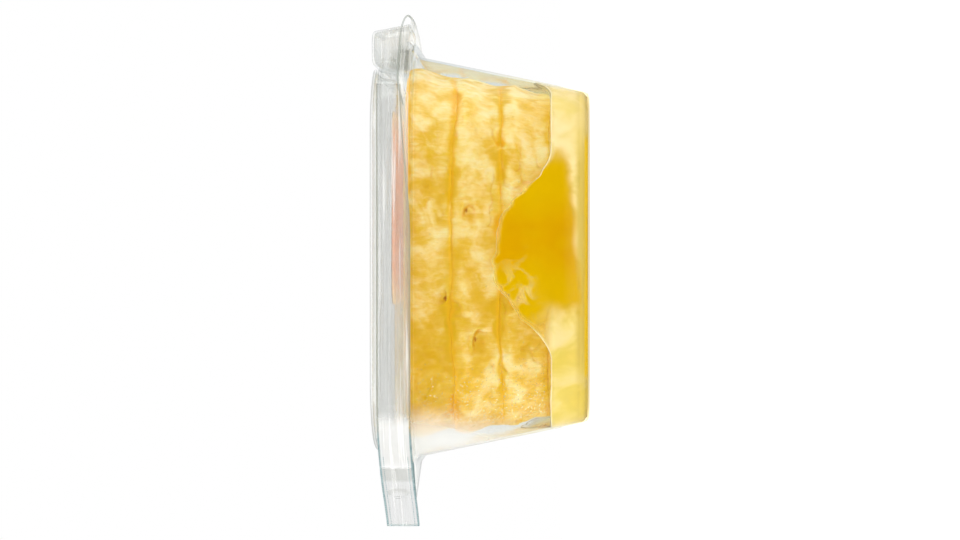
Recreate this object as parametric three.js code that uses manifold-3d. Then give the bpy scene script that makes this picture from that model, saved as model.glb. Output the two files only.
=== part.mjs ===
// A shut, clear thermoformed tub of pineapple rings, standing on its base.
// Millimetres, +Z up, origin at the bottom centre of the bounding box. -Y is the side with the tear strip.
import * as THREE from "three";
import { mergeVertices } from "three/addons/utils/BufferGeometryUtils.js";
import Module from "manifold-3d";

const wasm = await Module();
wasm.setup();

// Driving dimensions of the pack, half widths measured at the middle of a side.
const SHEET = 0.6; // thickness of the clear sheet
const GAP = 0.3; // clearance between neighbouring pieces
const CORNER_SHARE = 0.37; // corner radius as a share of the half width
const CORNER_STEPS = 7; // straight pieces in each rounded corner
const BASE_HALF = 46.2; // outer half width of the tub at its foot
const RIM_HALF = 55.5; // outer half width of the tub under its flange
const RIM_Z = 48.0; // top of the tub's flange
const FLANGE_HALF = 58.6; // half width of both flanges
const PUSH_UP_HALF = 32.0; // raised panel in the middle of the base
const PUSH_UP = 1.6;
const LID_TOP_Z = 59.1; // crest of the bead round the lid
const PANEL_Z = 53.3; // sunken middle of the lid
const LID_WALL_HALF = 57.6;
const LEDGE_Z = 56.8; // shoulder between the lid's wall and its bead

// The lift tab, where the lid's flange is drawn out at the +X -Y corner and curls up.
const LIFT_TAB_REACH = 67.8;
const LIFT_TAB_START_X = 44.0;
const LIFT_TAB_TIP_Y = -27.0;
const LIFT_TAB_FRONT = { pullX: 10.0, pullY: -42.5 }; // how its rounded front bulges between start and tip
const LIFT_TAB_BACK = { tipY: -15.0, endX: 62.0, endY: -6.0 }; // how it runs back into the flange's +X side
const LIFT_TAB_CURL = { height: 2.6, fromX: 14.0, toX: 50.0, fromY: -2.0, toY: -48.0, run: 3.0 };

// The raised box that locks the lid beside the lift tab.
const LOCK = { left: 52.0, right: 63.4, front: -48.0, back: -19.0, top: 59.1, draft: 1.8, lift: 0.1 };
const LOCK_ROUND = 3.6;
const LOCK_OUTER_ROUND = 7.6; // its corner that follows the tab's edge

// The tear strip along the -Y side, which leaves the -X corner as a free pull tab.
const STRIP_LOW_Z = 47.7;
const STRIP_HEIGHT = 9.1;
const STRIP_START_X = 46.0;
const STRIP_RISE = 2.6; // its lower edge climbs this much towards its +X end
const STRIP_RISE_FROM_X = 4.0;
const STRIP_TIP_X = 75.2;
const STRIP_DROOP = 0.5; // the free tab hangs down this much at its tip
const GRIP_FROM_TIP = 14.6; // the raised grip mark, measured back from the tip
const GRIP_HEIGHT_SHARE = 0.5;
const GUSSET_LENGTH = 21.0; // the flap of the tub's flange behind the pull tab
const GUSSET_BACK_Y = -16.0;
const GUSSET_INSET = 1.2; // it starts this far inside the flange's edge

// The rings, from the base up: lower face, thickness, outer radius, sideways place and seed.
const CORE_RADIUS = 13.0;
const RINGS = [
  { low: 2.5, thick: 8.6, radius: 45.4, x: 0.1, y: -0.1, seed: 3 },
  { low: 11.4, thick: 12.5, radius: 47.7, x: 0.4, y: -0.4, seed: 17 },
  { low: 24.2, thick: 12.6, radius: 50.1, x: 0.5, y: -0.6, seed: 29 },
  { low: 37.1, thick: 12.4, radius: 52.0, x: 1.2, y: -1.2, seed: 41 },
];
const RING_SEGMENTS = 48;
const RING_SQUARENESS = 3.6; // 2 is a true circle; the tub squeezes its rings squarer
const RING_TAPER = 0.8; // the edge leans outwards with the wall by this much either side of its middle
const EYES_PER_RING = 9;

// The label on the lid's sunken panel. It leaves the -X side of the panel clear.
const LABEL_X = 13.5;
const LABEL_WIDTH = 53.0;
const LABEL_LENGTH = 91.0;
const LABEL_RADIUS = 6.0;
const LABEL_THICK = 0.25;

// The bounding box is centred on the origin, so everything stands this far from the tub's own axis.
const OUTER_Y = FLANGE_HALF + GAP + SHEET;
const CENTRE = new THREE.Vector2((STRIP_TIP_X - LIFT_TAB_REACH) / 2, (OUTER_Y - FLANGE_HALF) / 2);

const clearPlastic = new THREE.MeshStandardMaterial({
  color: 0xe8eeee, roughness: 0.08, metalness: 0, transparent: true, opacity: 0.35,
});
const tearPlastic = clearPlastic.clone();
tearPlastic.color.set(0xd6e4e4);
const labelPaper = new THREE.MeshStandardMaterial({ color: 0xe0a08c, roughness: 0.5, metalness: 0 });
const flesh = new THREE.MeshStandardMaterial({ color: 0xf0c850, roughness: 0.35, metalness: 0 });

const clamp01 = (t) => Math.min(1, Math.max(0, t));
const smooth = (from, to, t) => {
  const s = clamp01((t - from) / (to - from));
  return s * s * (3 - 2 * s);
};

/** A square of that half width with rounded corners, drawn anticlockwise. */
function roundedSquare(half, radius = half * CORNER_SHARE) {
  const inner = half - radius;
  const shape = new THREE.Shape();
  for (let quarter = 0; quarter < 4; quarter += 1) {
    const turn = (quarter * Math.PI) / 2;
    const x = inner * (Math.cos(turn) - Math.sin(turn));
    const y = inner * (Math.sin(turn) + Math.cos(turn));
    shape.absarc(x, y, radius, turn, turn + Math.PI / 2, false);
  }
  shape.closePath();
  return shape;
}

/** Keeps only the places of a geometry's corners, with the shared ones merged. */
function bare(geometry) {
  geometry.deleteAttribute("normal");
  geometry.deleteAttribute("uv");
  return mergeVertices(geometry, 1e-4);
}

/** Skin over rounded squares of the given [half width, height] pairs, closed on the axis at both ends. */
function shell(profile) {
  const places = [];
  const faces = [];
  const loops = profile.slice(1, -1).map(([half, z]) => {
    const points = roundedSquare(half).getPoints(CORNER_STEPS);
    points.pop();
    const first = places.length / 3;
    points.forEach((p) => places.push(p.x, p.y, z));
    return { first, count: points.length };
  });
  const bottom = places.push(0, 0, profile[0][1]) / 3 - 1;
  const top = places.push(0, 0, profile.at(-1)[1]) / 3 - 1;
  const { count } = loops[0];
  for (let i = 0; i < count; i += 1) {
    const next = (i + 1) % count;
    faces.push(bottom, loops[0].first + next, loops[0].first + i);
    for (let k = 0; k + 1 < loops.length; k += 1) {
      const [a, b] = [loops[k].first, loops[k + 1].first];
      faces.push(a + i, a + next, b + next, a + i, b + next, b + i);
    }
    faces.push(top, loops.at(-1).first + i, loops.at(-1).first + next);
  }
  const geometry = new THREE.BufferGeometry();
  geometry.setAttribute("position", new THREE.Float32BufferAttribute(places, 3));
  geometry.setIndex(faces);
  return mergeVertices(geometry, 1e-4);
}

/** A flat plate of that outline, from one height up. */
function plate(shape, low, thickness) {
  const options = { depth: thickness, bevelEnabled: false, curveSegments: CORNER_STEPS };
  const geometry = new THREE.ExtrudeGeometry(shape, options);
  geometry.translate(0, 0, low);
  return bare(geometry);
}

/** Moves each corner of a geometry by the function move(x, y, z), which gives its new place. */
function reshape(geometry, move) {
  const places = geometry.attributes.position;
  for (let i = 0; i < places.count; i += 1) {
    places.setXYZ(i, ...move(places.getX(i), places.getY(i), places.getZ(i)));
  }
  return geometry;
}

function solid(geometry) {
  const mesh = new wasm.Mesh({
    numProp: 3,
    vertProperties: new Float32Array(geometry.attributes.position.array),
    triVerts: new Uint32Array(geometry.index.array),
  });
  return new wasm.Manifold(mesh);
}

function joined(...geometries) {
  const whole = geometries.map(solid).reduce((a, b) => a.add(b));
  const mesh = whole.getMesh();
  const geometry = new THREE.BufferGeometry();
  geometry.setAttribute("position", new THREE.BufferAttribute(mesh.vertProperties, 3));
  geometry.setIndex(new THREE.BufferAttribute(mesh.triVerts, 1));
  return geometry;
}

/** The open tub: pushed-up base, drafted walls and flange, with a gusset behind the pull tab. */
function tubGeometry() {
  const under = RIM_Z - SHEET;
  const walls = shell([
    [0, PUSH_UP],
    [PUSH_UP_HALF, PUSH_UP],
    [PUSH_UP_HALF + 1.5, 0],
    [BASE_HALF - 1.3, 0],
    [BASE_HALF - 0.4, 0.4],
    [BASE_HALF, 1.3],
    [RIM_HALF - 0.2, under - 0.6],
    [RIM_HALF + 0.4, under],
    [RIM_HALF + 0.4, RIM_Z],
    [RIM_HALF - 0.4, RIM_Z],
    [RIM_HALF - 0.8, RIM_Z - 1.0],
    [BASE_HALF - SHEET, 1.8],
    [BASE_HALF - 1.0, 1.0],
    [BASE_HALF - 1.6, SHEET],
    [PUSH_UP_HALF + 1.9, SHEET],
    [PUSH_UP_HALF + 0.4, PUSH_UP + SHEET],
    [0, PUSH_UP + SHEET],
  ]);
  const flange = roundedSquare(FLANGE_HALF);
  flange.holes.push(roundedSquare(RIM_HALF));
  return joined(walls, plate(flange, under, SHEET), plate(gussetShape(), under, SHEET));
}

/** The flap of the tub's flange that fills the corner behind the free pull tab. */
function gussetShape() {
  const { corner, radius, leave } = stripCorner();
  const inwards = new THREE.Vector2(1, 1).normalize();
  const along = new THREE.Vector2(-1, 1).normalize();
  const start = leave.clone().addScaledVector(inwards, SHEET + GAP);
  const tip = start.clone().addScaledVector(along, GUSSET_LENGTH);
  const shape = new THREE.Shape();
  shape.absarc(corner.x, corner.y, radius - SHEET - GAP - GUSSET_INSET, Math.PI, 1.25 * Math.PI, false);
  shape.lineTo(start.x, start.y);
  shape.lineTo(tip.x, tip.y);
  shape.lineTo(GUSSET_INSET - FLANGE_HALF, GUSSET_BACK_Y);
  shape.closePath();
  return new THREE.Shape(shape.getPoints(CORNER_STEPS).reverse());
}

/** The lid: sunken panel, bead, shoulder, wall, flange with its curled lift tab, and the corner lock. */
function lidGeometry() {
  const foot = RIM_Z + GAP;
  const outside = [
    [LID_WALL_HALF, foot + SHEET],
    [LID_WALL_HALF - 0.6, LEDGE_Z - 0.6],
    [LID_WALL_HALF - 1.4, LEDGE_Z],
    [LID_WALL_HALF - 3.5, LEDGE_Z + 0.3],
    [LID_WALL_HALF - 4.1, LID_TOP_Z - 0.5],
    [LID_WALL_HALF - 5.0, LID_TOP_Z],
    [LID_WALL_HALF - 6.4, LID_TOP_Z],
    [LID_WALL_HALF - 7.4, LID_TOP_Z - 0.3],
    [LID_WALL_HALF - 8.2, LID_TOP_Z - 0.9],
    [LID_WALL_HALF - 9.0, PANEL_Z + 0.6],
    [LID_WALL_HALF - 10.0, PANEL_Z],
  ];
  const inside = [
    [LID_WALL_HALF - 9.7, PANEL_Z - SHEET],
    [LID_WALL_HALF - 8.5, PANEL_Z + 0.2],
    [LID_WALL_HALF - 7.6, LID_TOP_Z - 1.2],
    [LID_WALL_HALF - 6.9, LID_TOP_Z - 0.8],
    [LID_WALL_HALF - 6.2, LID_TOP_Z - SHEET],
    [LID_WALL_HALF - 5.3, LID_TOP_Z - SHEET],
    [LID_WALL_HALF - 4.6, LID_TOP_Z - 0.9],
    [LID_WALL_HALF - 4.0, LEDGE_Z - 0.3],
    [LID_WALL_HALF - 1.8, LEDGE_Z - SHEET],
    [LID_WALL_HALF - 1.2, LEDGE_Z - 0.9],
    [LID_WALL_HALF - 0.6, foot],
    [LID_WALL_HALF, foot],
  ];
  const panel = shell([[0, PANEL_Z - SHEET], ...inside, ...outside, [0, PANEL_Z]]);
  const flange = lidFlangeShape();
  flange.holes.push(roundedSquare(LID_WALL_HALF - 0.3));
  const curled = reshape(plate(flange, foot, SHEET), (x, y, z) => [x, y, z + liftTabCurl(x, y)]);
  return joined(panel, curled, cornerLock(foot));
}

/** The lid flange's outline: a rounded square whose +X -Y corner is drawn out into the lift tab. */
function lidFlangeShape() {
  const half = FLANGE_HALF;
  const round = half * CORNER_SHARE;
  const inner = half - round;
  const shape = new THREE.Shape();
  shape.absarc(inner, inner, round, 0, Math.PI / 2, false);
  shape.absarc(-inner, inner, round, Math.PI / 2, Math.PI, false);
  shape.absarc(-inner, -inner, round, Math.PI, 1.5 * Math.PI, false);
  [0.1, 0.25, 0.4, 0.55, 0.65].forEach((share) => shape.lineTo(share * half, -half));
  shape.lineTo(LIFT_TAB_START_X, -half);
  const front = { x: LIFT_TAB_START_X + LIFT_TAB_FRONT.pullX, y: LIFT_TAB_FRONT.pullY };
  shape.bezierCurveTo(front.x, -half, LIFT_TAB_REACH, front.y, LIFT_TAB_REACH, LIFT_TAB_TIP_Y);
  shape.bezierCurveTo(LIFT_TAB_REACH, LIFT_TAB_BACK.tipY, LIFT_TAB_BACK.endX, LIFT_TAB_BACK.endY, half, 0);
  shape.closePath();
  return shape;
}

/** How far a place lies outside a rounded square. */
function outsideSquare(x, y, half) {
  const inner = half * (1 - CORNER_SHARE);
  const [dx, dy] = [Math.max(0, Math.abs(x) - inner), Math.max(0, Math.abs(y) - inner)];
  return Math.hypot(dx, dy) - half * CORNER_SHARE;
}

/** How far the lift tab curls up at a place: most at its -Y corner, and nothing at the lid's wall. */
function liftTabCurl(x, y) {
  const { height, fromX, toX, fromY, toY, run } = LIFT_TAB_CURL;
  const along = smooth(fromX, toX, x) * smooth(fromY, toY, y);
  return height * along * smooth(-0.2, run, outsideSquare(x, y, LID_WALL_HALF));
}

/** The raised box that locks the lid at its lift-tab corner, with drafted sides. */
function cornerLock(foot) {
  const { left, right, front, back, top, draft, lift } = LOCK;
  const [small, large] = [LOCK_ROUND, LOCK_OUTER_ROUND];
  const shape = new THREE.Shape();
  shape.absarc(right - large, front + large, large, 1.5 * Math.PI, 2 * Math.PI, false);
  shape.absarc(right - small, back - small, small, 0, Math.PI / 2, false);
  shape.absarc(left + small, back - small, small, Math.PI / 2, Math.PI, false);
  shape.absarc(left + small, front + small, small, Math.PI, 1.5 * Math.PI, false);
  shape.closePath();
  const middle = { x: (left + right) / 2, y: (front + back) / 2 };
  const half = { x: (right - left) / 2, y: (back - front) / 2 };
  const drafted = (x, y, z) => {
    const inset = (draft * (z - foot)) / (top - foot);
    const across = (x - middle.x) * (1 - inset / half.x);
    const along = (y - middle.y) * (1 - inset / half.y);
    return [middle.x + across, middle.y + along, z];
  };
  return reshape(plate(shape, foot + lift, top - foot - lift), drafted);
}

/** Centre and radius of the strip's bend at the -X corner, and where the free tab leaves it at 45 degrees. */
function stripCorner() {
  const radius = FLANGE_HALF * CORNER_SHARE + GAP + SHEET;
  const inner = FLANGE_HALF * (1 - CORNER_SHARE);
  const corner = new THREE.Vector2(-inner, -inner);
  const leave = corner.clone().addScaledVector(new THREE.Vector2(-1, -1).normalize(), radius);
  return { corner, radius, leave };
}

/** Points along the strip's outer face, seen from above, from its +X end to the tip of the pull tab. */
function stripPath() {
  const { corner, radius, leave } = stripCorner();
  const straight = [1, 0.85, 0.7, 0.55, 0.4, 0.25, 0.1].map(
    (share) => new THREE.Vector2(share * STRIP_START_X, -OUTER_Y),
  );
  const bend = [];
  for (let i = 0; i <= CORNER_STEPS; i += 1) {
    const angle = 1.5 * Math.PI - ((i / CORNER_STEPS) * Math.PI) / 4;
    bend.push(new THREE.Vector2(Math.cos(angle), Math.sin(angle)).multiplyScalar(radius).add(corner));
  }
  const run = STRIP_TIP_X + leave.x;
  const tab = [0.5, 1].map((share) => new THREE.Vector2(leave.x - share * run, leave.y + share * run));
  return [...straight, ...bend, ...tab];
}

/** The same path moved inwards by the sheet's thickness. */
function insetPath(path, distance) {
  return path.map((point, i) => {
    const before = path[Math.max(0, i - 1)];
    const after = path[Math.min(path.length - 1, i + 1)];
    const way = after.clone().sub(before).normalize();
    return new THREE.Vector2(way.y, -way.x).multiplyScalar(distance).add(point);
  });
}

/** The tear strip: a thin upright band with the grip mark of its pull tab. */
function tearStripGeometry() {
  const outer = stripPath();
  const inner = insetPath(outer, SHEET);
  const shape = new THREE.Shape([...inner, ...outer.slice().reverse()]);
  const bent = (x, y, z) => {
    const lift = z < STRIP_LOW_Z + 1 ? STRIP_RISE * smooth(STRIP_RISE_FROM_X, STRIP_START_X, x) : 0;
    return [x, y, z + lift - STRIP_DROOP * smooth(-FLANGE_HALF, -STRIP_TIP_X, x)];
  };
  const band = reshape(plate(shape, STRIP_LOW_Z, STRIP_HEIGHT), bent);
  const grip = new THREE.SphereGeometry(1, 12, 8);
  grip.scale(1.3, 0.9, 3.0);
  grip.rotateZ(-Math.PI / 4);
  const back = GRIP_FROM_TIP * Math.SQRT1_2;
  const tip = outer.at(-1);
  grip.translate(tip.x + back, tip.y - back, STRIP_LOW_Z + STRIP_HEIGHT * GRIP_HEIGHT_SHARE);
  return joined(band, bare(grip));
}

/** A repeatable list of numbers from 0 to 1. */
function draws(seed, count) {
  const modulus = 2147483647;
  let state = (seed * 104729) % modulus;
  return Array.from({ length: count }, () => {
    state = (state * 16807) % modulus;
    return state / modulus;
  });
}

/** One cored ring: a closed profile turned about the axis, then given its uneven edge and eye pits. */
function ringGeometry({ thick, radius, seed }) {
  const edge = 1.4;
  const side = [0.3, 0.5, 0.7].map((share) => [radius + RING_TAPER * (share - 0.5) * 5, share * thick]);
  const profile = [
    [CORE_RADIUS + edge, 0],
    [(CORE_RADIUS + radius) / 2, 0.15],
    [radius - 2.4 - RING_TAPER, 0],
    [radius - 0.8 - RING_TAPER, edge * 0.6],
    ...side,
    [radius - 0.8 + RING_TAPER, thick - edge * 0.6],
    [radius - 2.4 + RING_TAPER, thick],
    [(CORE_RADIUS + radius) / 2, thick - 0.15],
    [CORE_RADIUS + edge, thick],
    [CORE_RADIUS, thick - edge],
    [CORE_RADIUS, edge],
    [CORE_RADIUS + edge, 0],
  ];
  const points = profile.map(([r, z]) => new THREE.Vector2(r, z));
  const lathe = new THREE.LatheGeometry(points, RING_SEGMENTS);
  lathe.rotateX(Math.PI / 2);
  const random = draws(seed, EYES_PER_RING * 3 + 6);
  const uneven = (x, y, z) => {
    const r = Math.hypot(x, y);
    const angle = Math.atan2(y, x);
    const outer = smooth(CORE_RADIUS, radius, r);
    const [c, s] = [Math.abs(Math.cos(angle)), Math.abs(Math.sin(angle))];
    const square = (c ** RING_SQUARENESS + s ** RING_SQUARENESS) ** (-1 / RING_SQUARENESS);
    let dent = 0.35 * (1 + Math.sin(3 * angle + 6 * random[0]));
    dent += 0.25 * (1 + Math.sin(7 * angle + 6 * random[1]));
    for (let i = 0; i < EYES_PER_RING; i += 1) {
      const [shift, depth, height] = random.slice(6 + 3 * i, 9 + 3 * i);
      const centre = ((i + 0.6 * shift) * 2 * Math.PI) / EYES_PER_RING;
      const turn = Math.atan2(Math.sin(angle - centre), Math.cos(angle - centre)) * radius;
      const rise = z - (0.2 + 0.6 * height) * thick;
      dent += (0.8 + 1.4 * depth) * Math.exp(-((turn / 3.2) ** 2) - (rise / 3.0) ** 2);
    }
    const grown = 1 + (square - 1) * outer - (dent * outer) / r;
    return [x * grown, y * grown, z];
  };
  return reshape(bare(lathe), uneven);
}

/** The label: a flat rectangle with rounded corners. */
function labelGeometry() {
  const shape = new THREE.Shape();
  const [across, up] = [LABEL_WIDTH / 2 - LABEL_RADIUS, LABEL_LENGTH / 2 - LABEL_RADIUS];
  shape.absarc(across, up, LABEL_RADIUS, 0, Math.PI / 2, false);
  shape.absarc(-across, up, LABEL_RADIUS, Math.PI / 2, Math.PI, false);
  shape.absarc(-across, -up, LABEL_RADIUS, Math.PI, 1.5 * Math.PI, false);
  shape.absarc(across, -up, LABEL_RADIUS, 1.5 * Math.PI, 2 * Math.PI, false);
  shape.closePath();
  return plate(shape, 0, LABEL_THICK);
}

function named(name, geometry, material) {
  const mesh = new THREE.Mesh(geometry, material);
  mesh.name = name;
  return mesh;
}

const pack = new THREE.Group();
pack.position.set(CENTRE.x, CENTRE.y, 0);
pack.add(named("tub", tubGeometry(), clearPlastic));
pack.add(named("lid", lidGeometry(), clearPlastic));
pack.add(named("tear_strip", tearStripGeometry(), tearPlastic));

const label = named("lid_label", labelGeometry(), labelPaper);
label.position.set(LABEL_X, 0, PANEL_Z + GAP);
pack.add(label);

RINGS.forEach((ring, i) => {
  const mesh = named(`pineapple_ring_${i + 1}`, ringGeometry(ring), flesh);
  mesh.position.set(ring.x, ring.y, ring.low);
  pack.add(mesh);
});

export default pack;
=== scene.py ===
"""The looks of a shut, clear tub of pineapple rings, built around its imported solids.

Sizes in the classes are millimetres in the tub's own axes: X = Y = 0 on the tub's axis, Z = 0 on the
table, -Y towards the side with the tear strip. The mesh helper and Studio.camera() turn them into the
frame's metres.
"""

import logging
import math
from dataclasses import dataclass, field
from enum import Enum
from typing import Any, Iterable, Optional, Union

import bpy
import numpy as np
from mathutils import Matrix, Vector


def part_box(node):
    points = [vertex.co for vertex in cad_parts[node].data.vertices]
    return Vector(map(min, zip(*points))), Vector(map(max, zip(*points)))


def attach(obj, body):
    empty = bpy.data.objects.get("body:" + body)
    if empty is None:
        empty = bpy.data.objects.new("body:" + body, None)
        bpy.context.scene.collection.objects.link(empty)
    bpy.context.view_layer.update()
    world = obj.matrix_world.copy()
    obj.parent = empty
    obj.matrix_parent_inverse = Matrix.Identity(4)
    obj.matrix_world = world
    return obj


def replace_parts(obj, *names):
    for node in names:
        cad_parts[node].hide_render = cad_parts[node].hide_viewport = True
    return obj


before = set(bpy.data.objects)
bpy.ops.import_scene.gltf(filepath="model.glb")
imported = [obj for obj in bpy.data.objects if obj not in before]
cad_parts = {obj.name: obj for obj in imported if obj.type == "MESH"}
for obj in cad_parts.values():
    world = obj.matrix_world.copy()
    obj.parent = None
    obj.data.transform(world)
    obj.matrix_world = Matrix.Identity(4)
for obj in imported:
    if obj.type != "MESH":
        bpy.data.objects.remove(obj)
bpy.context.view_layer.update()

LOG = logging.getLogger("tub")
BODY = "root"
MM = 0.001
Triple = tuple[float, float, float]
Colour = Triple
Array = np.ndarray
WHITE: Colour = (1.0, 1.0, 1.0)
BLACK: Colour = (0.0, 0.0, 0.0)


# ---------------------------------------------------------------- shader helper


class Socket:
    """One output of a node, with arithmetic that adds Math nodes to its tree."""

    def __init__(self, surface: "Surface", output: bpy.types.NodeSocket) -> None:
        """Wraps an output socket.

        Args:
            surface: the node tree that the socket belongs to.
            output: the socket.
        """
        self.surface = surface
        self.output = output

    def _math(self, operation: str, first: Any, second: Any = 0.0) -> "Socket":
        """Adds one Math node.

        Args:
            operation: the node's operation.
            first: the first value or socket.
            second: the second value or socket.

        Returns:
            The node's output.
        """
        return self.surface.node("ShaderNodeMath", {"operation": operation}, {0: first, 1: second})

    def __add__(self, other: Any) -> "Socket":
        """This plus other."""
        return self._math("ADD", self, other)

    def __radd__(self, other: Any) -> "Socket":
        """Other plus this."""
        return self._math("ADD", other, self)

    def __sub__(self, other: Any) -> "Socket":
        """This minus other."""
        return self._math("SUBTRACT", self, other)

    def __rsub__(self, other: Any) -> "Socket":
        """Other minus this."""
        return self._math("SUBTRACT", other, self)

    def __mul__(self, other: Any) -> "Socket":
        """This times other."""
        return self._math("MULTIPLY", self, other)

    def __rmul__(self, other: Any) -> "Socket":
        """Other times this."""
        return self._math("MULTIPLY", other, self)

    def __pow__(self, other: Any) -> "Socket":
        """This to the power of other."""
        return self._math("POWER", self, other)

    def most(self, other: Any) -> "Socket":
        """The larger of this and other."""
        return self._math("MAXIMUM", self, other)

    def between(self, low: float, high: float) -> "Socket":
        """A smooth step of this.

        Args:
            low: the value that becomes 0.
            high: the value that becomes 1.

        Returns:
            The step, from 0 to 1.
        """
        inputs = {"Value": self, "From Min": low, "From Max": high}
        return self.surface.node("ShaderNodeMapRange", {"interpolation_type": "SMOOTHSTEP"}, inputs)


class Surface:
    """A material, or the room round the tub, and the nodes in it."""

    def __init__(self, name: str, room: Optional[bpy.types.World] = None) -> None:
        """Empties the room's nodes, or makes an empty material.

        Args:
            name: the material's name.
            room: the room, for its nodes instead of a material's.
        """
        self.material = room or bpy.data.materials.new(name)
        self.material.use_nodes = True
        self.tree = self.material.node_tree
        self.tree.nodes.clear()

    def node(
        self,
        kind: str,
        settings: Optional[dict[str, Any]] = None,
        inputs: Optional[dict] = None,
        output: Any = 0,
    ) -> Socket:
        """Adds one node.

        Args:
            kind: the node's type.
            settings: its properties, which are set first. "stops" sets a colour ramp's stops.
            inputs: values or sockets, by the input's name or number.
            output: name or number of the output to return.

        Returns:
            That output.
        """
        made = self.tree.nodes.new(kind)
        for key, value in (settings or {}).items():
            setattr(made, key, value)
        for key, value in (inputs or {}).items():
            if isinstance(value, Socket):
                self.tree.links.new(value.output, made.inputs[key])
            elif isinstance(value, tuple) and made.inputs[key].type == "RGBA":
                made.inputs[key].default_value = (*value, 1.0)
            else:
                made.inputs[key].default_value = value
        return Socket(self, None if output is None else made.outputs[output])

    def mixed(self, factor: Any, first: Any, second: Any) -> Socket:
        """A blend of two colours.

        Args:
            factor: 0 for the first colour, 1 for the second.
            first: a colour or a colour socket.
            second: a colour or a colour socket.

        Returns:
            The blended colour.
        """
        settings = {"data_type": "RGBA"}
        return self.node("ShaderNodeMix", settings, {0: factor, 6: first, 7: second}, 2)

    def blended(self, factor: Any, first: Socket, second: Socket) -> Socket:
        """A blend of two shaders, with the factor's share of the second."""
        return self.node("ShaderNodeMixShader", {}, {0: factor, 1: first, 2: second})

    def clear(self, colour: Colour = WHITE) -> Socket:
        """A shader that lets light straight through and only tints it."""
        return self.node("ShaderNodeBsdfTransparent", {}, {"Color": colour})

    def paint(self, inputs: dict[str, Any]) -> Socket:
        """A Principled shader with these values or sockets."""
        return self.node("ShaderNodeBsdfPrincipled", {}, inputs)

    def gloss(
        self, roughness: float, colour: Colour = (0.8, 0.8, 0.8), normal: Optional[Socket] = None
    ) -> Socket:
        """A mirror-like shader."""
        inputs = {"Color": colour, "Roughness": roughness}
        return self.node("ShaderNodeBsdfGlossy", {}, {**inputs, "Normal": normal} if normal else inputs)

    def part(self, vector: Socket, axis: str) -> Socket:
        """One axis of a vector."""
        return self.node("ShaderNodeSeparateXYZ", {}, {0: vector}, axis)

    def geometry(self, output: str) -> Socket:
        """What the surface tells of the point that light meets, such as its normal."""
        return self.node("ShaderNodeNewGeometry", {}, {}, output)

    def ray(self, kind: str) -> Socket:
        """Whether the light path that arrives is of a kind."""
        return self.node("ShaderNodeLightPath", {}, {}, f"Is {kind} Ray")

    def place(self, scale: Triple = (1.0, 1.0, 1.0), turn: Triple = (0.0, 0.0, 0.0)) -> Socket:
        """The point's place in the frame, in metres, stretched by scale and then turned."""
        place = self.node("ShaderNodeTexCoord", {}, {}, "Object")
        return self.node("ShaderNodeMapping", {}, {"Vector": place, "Scale": scale, "Rotation": turn})

    def noise(self, vector: Socket, scale: float, detail: float = 2.0, twist: float = 0.0) -> Socket:
        """Smooth noise.

        Args:
            vector: where it is read.
            scale: how many features there are in a metre.
            detail: how many finer layers it has.
            twist: how much it is distorted.

        Returns:
            The noise, from 0 to 1.
        """
        inputs = {"Vector": vector, "Scale": scale, "Detail": detail, "Distortion": twist}
        return self.node("ShaderNodeTexNoise", {}, inputs)

    def slant(self, normal: Optional[Socket] = None) -> Socket:
        """How slanted the view of the surface is, from 0 straight on to 1 along it, on both its sides."""
        inputs = {"Blend": 0.5, "Normal": normal} if normal else {"Blend": 0.5}
        return self.node("ShaderNodeLayerWeight", {}, inputs, "Facing")

    def mirror(self, slant: Socket, straight: float) -> Socket:
        """The share of light mirrored at a slant, where so much is mirrored straight on."""
        return (slant ** 5.0) * (1.0 - straight) + straight

    def stored(self, name: str) -> Socket:
        """A number that the mesh holds at each vertex."""
        return self.node("ShaderNodeAttribute", {"attribute_name": name}, {}, "Fac")

    def bump(self, height: Socket, distance: float, strength: float = 1.0) -> Socket:
        """A normal from a height.

        Args:
            height: the height, from 0 to 1.
            distance: how far a height of 1 stands out, in metres.
            strength: the share of it that shows.

        Returns:
            The normal.
        """
        return self.node("ShaderNodeBump", {}, {"Height": height, "Distance": distance, "Strength": strength})

    def finished(self, shader: Socket, kind: str = "ShaderNodeOutputMaterial") -> bpy.types.Material:
        """Links the shader to the output and gives the material."""
        self.node(kind, {}, {"Surface": shader}, None)
        return self.material


# ---------------------------------------------------------------- finishes


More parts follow.
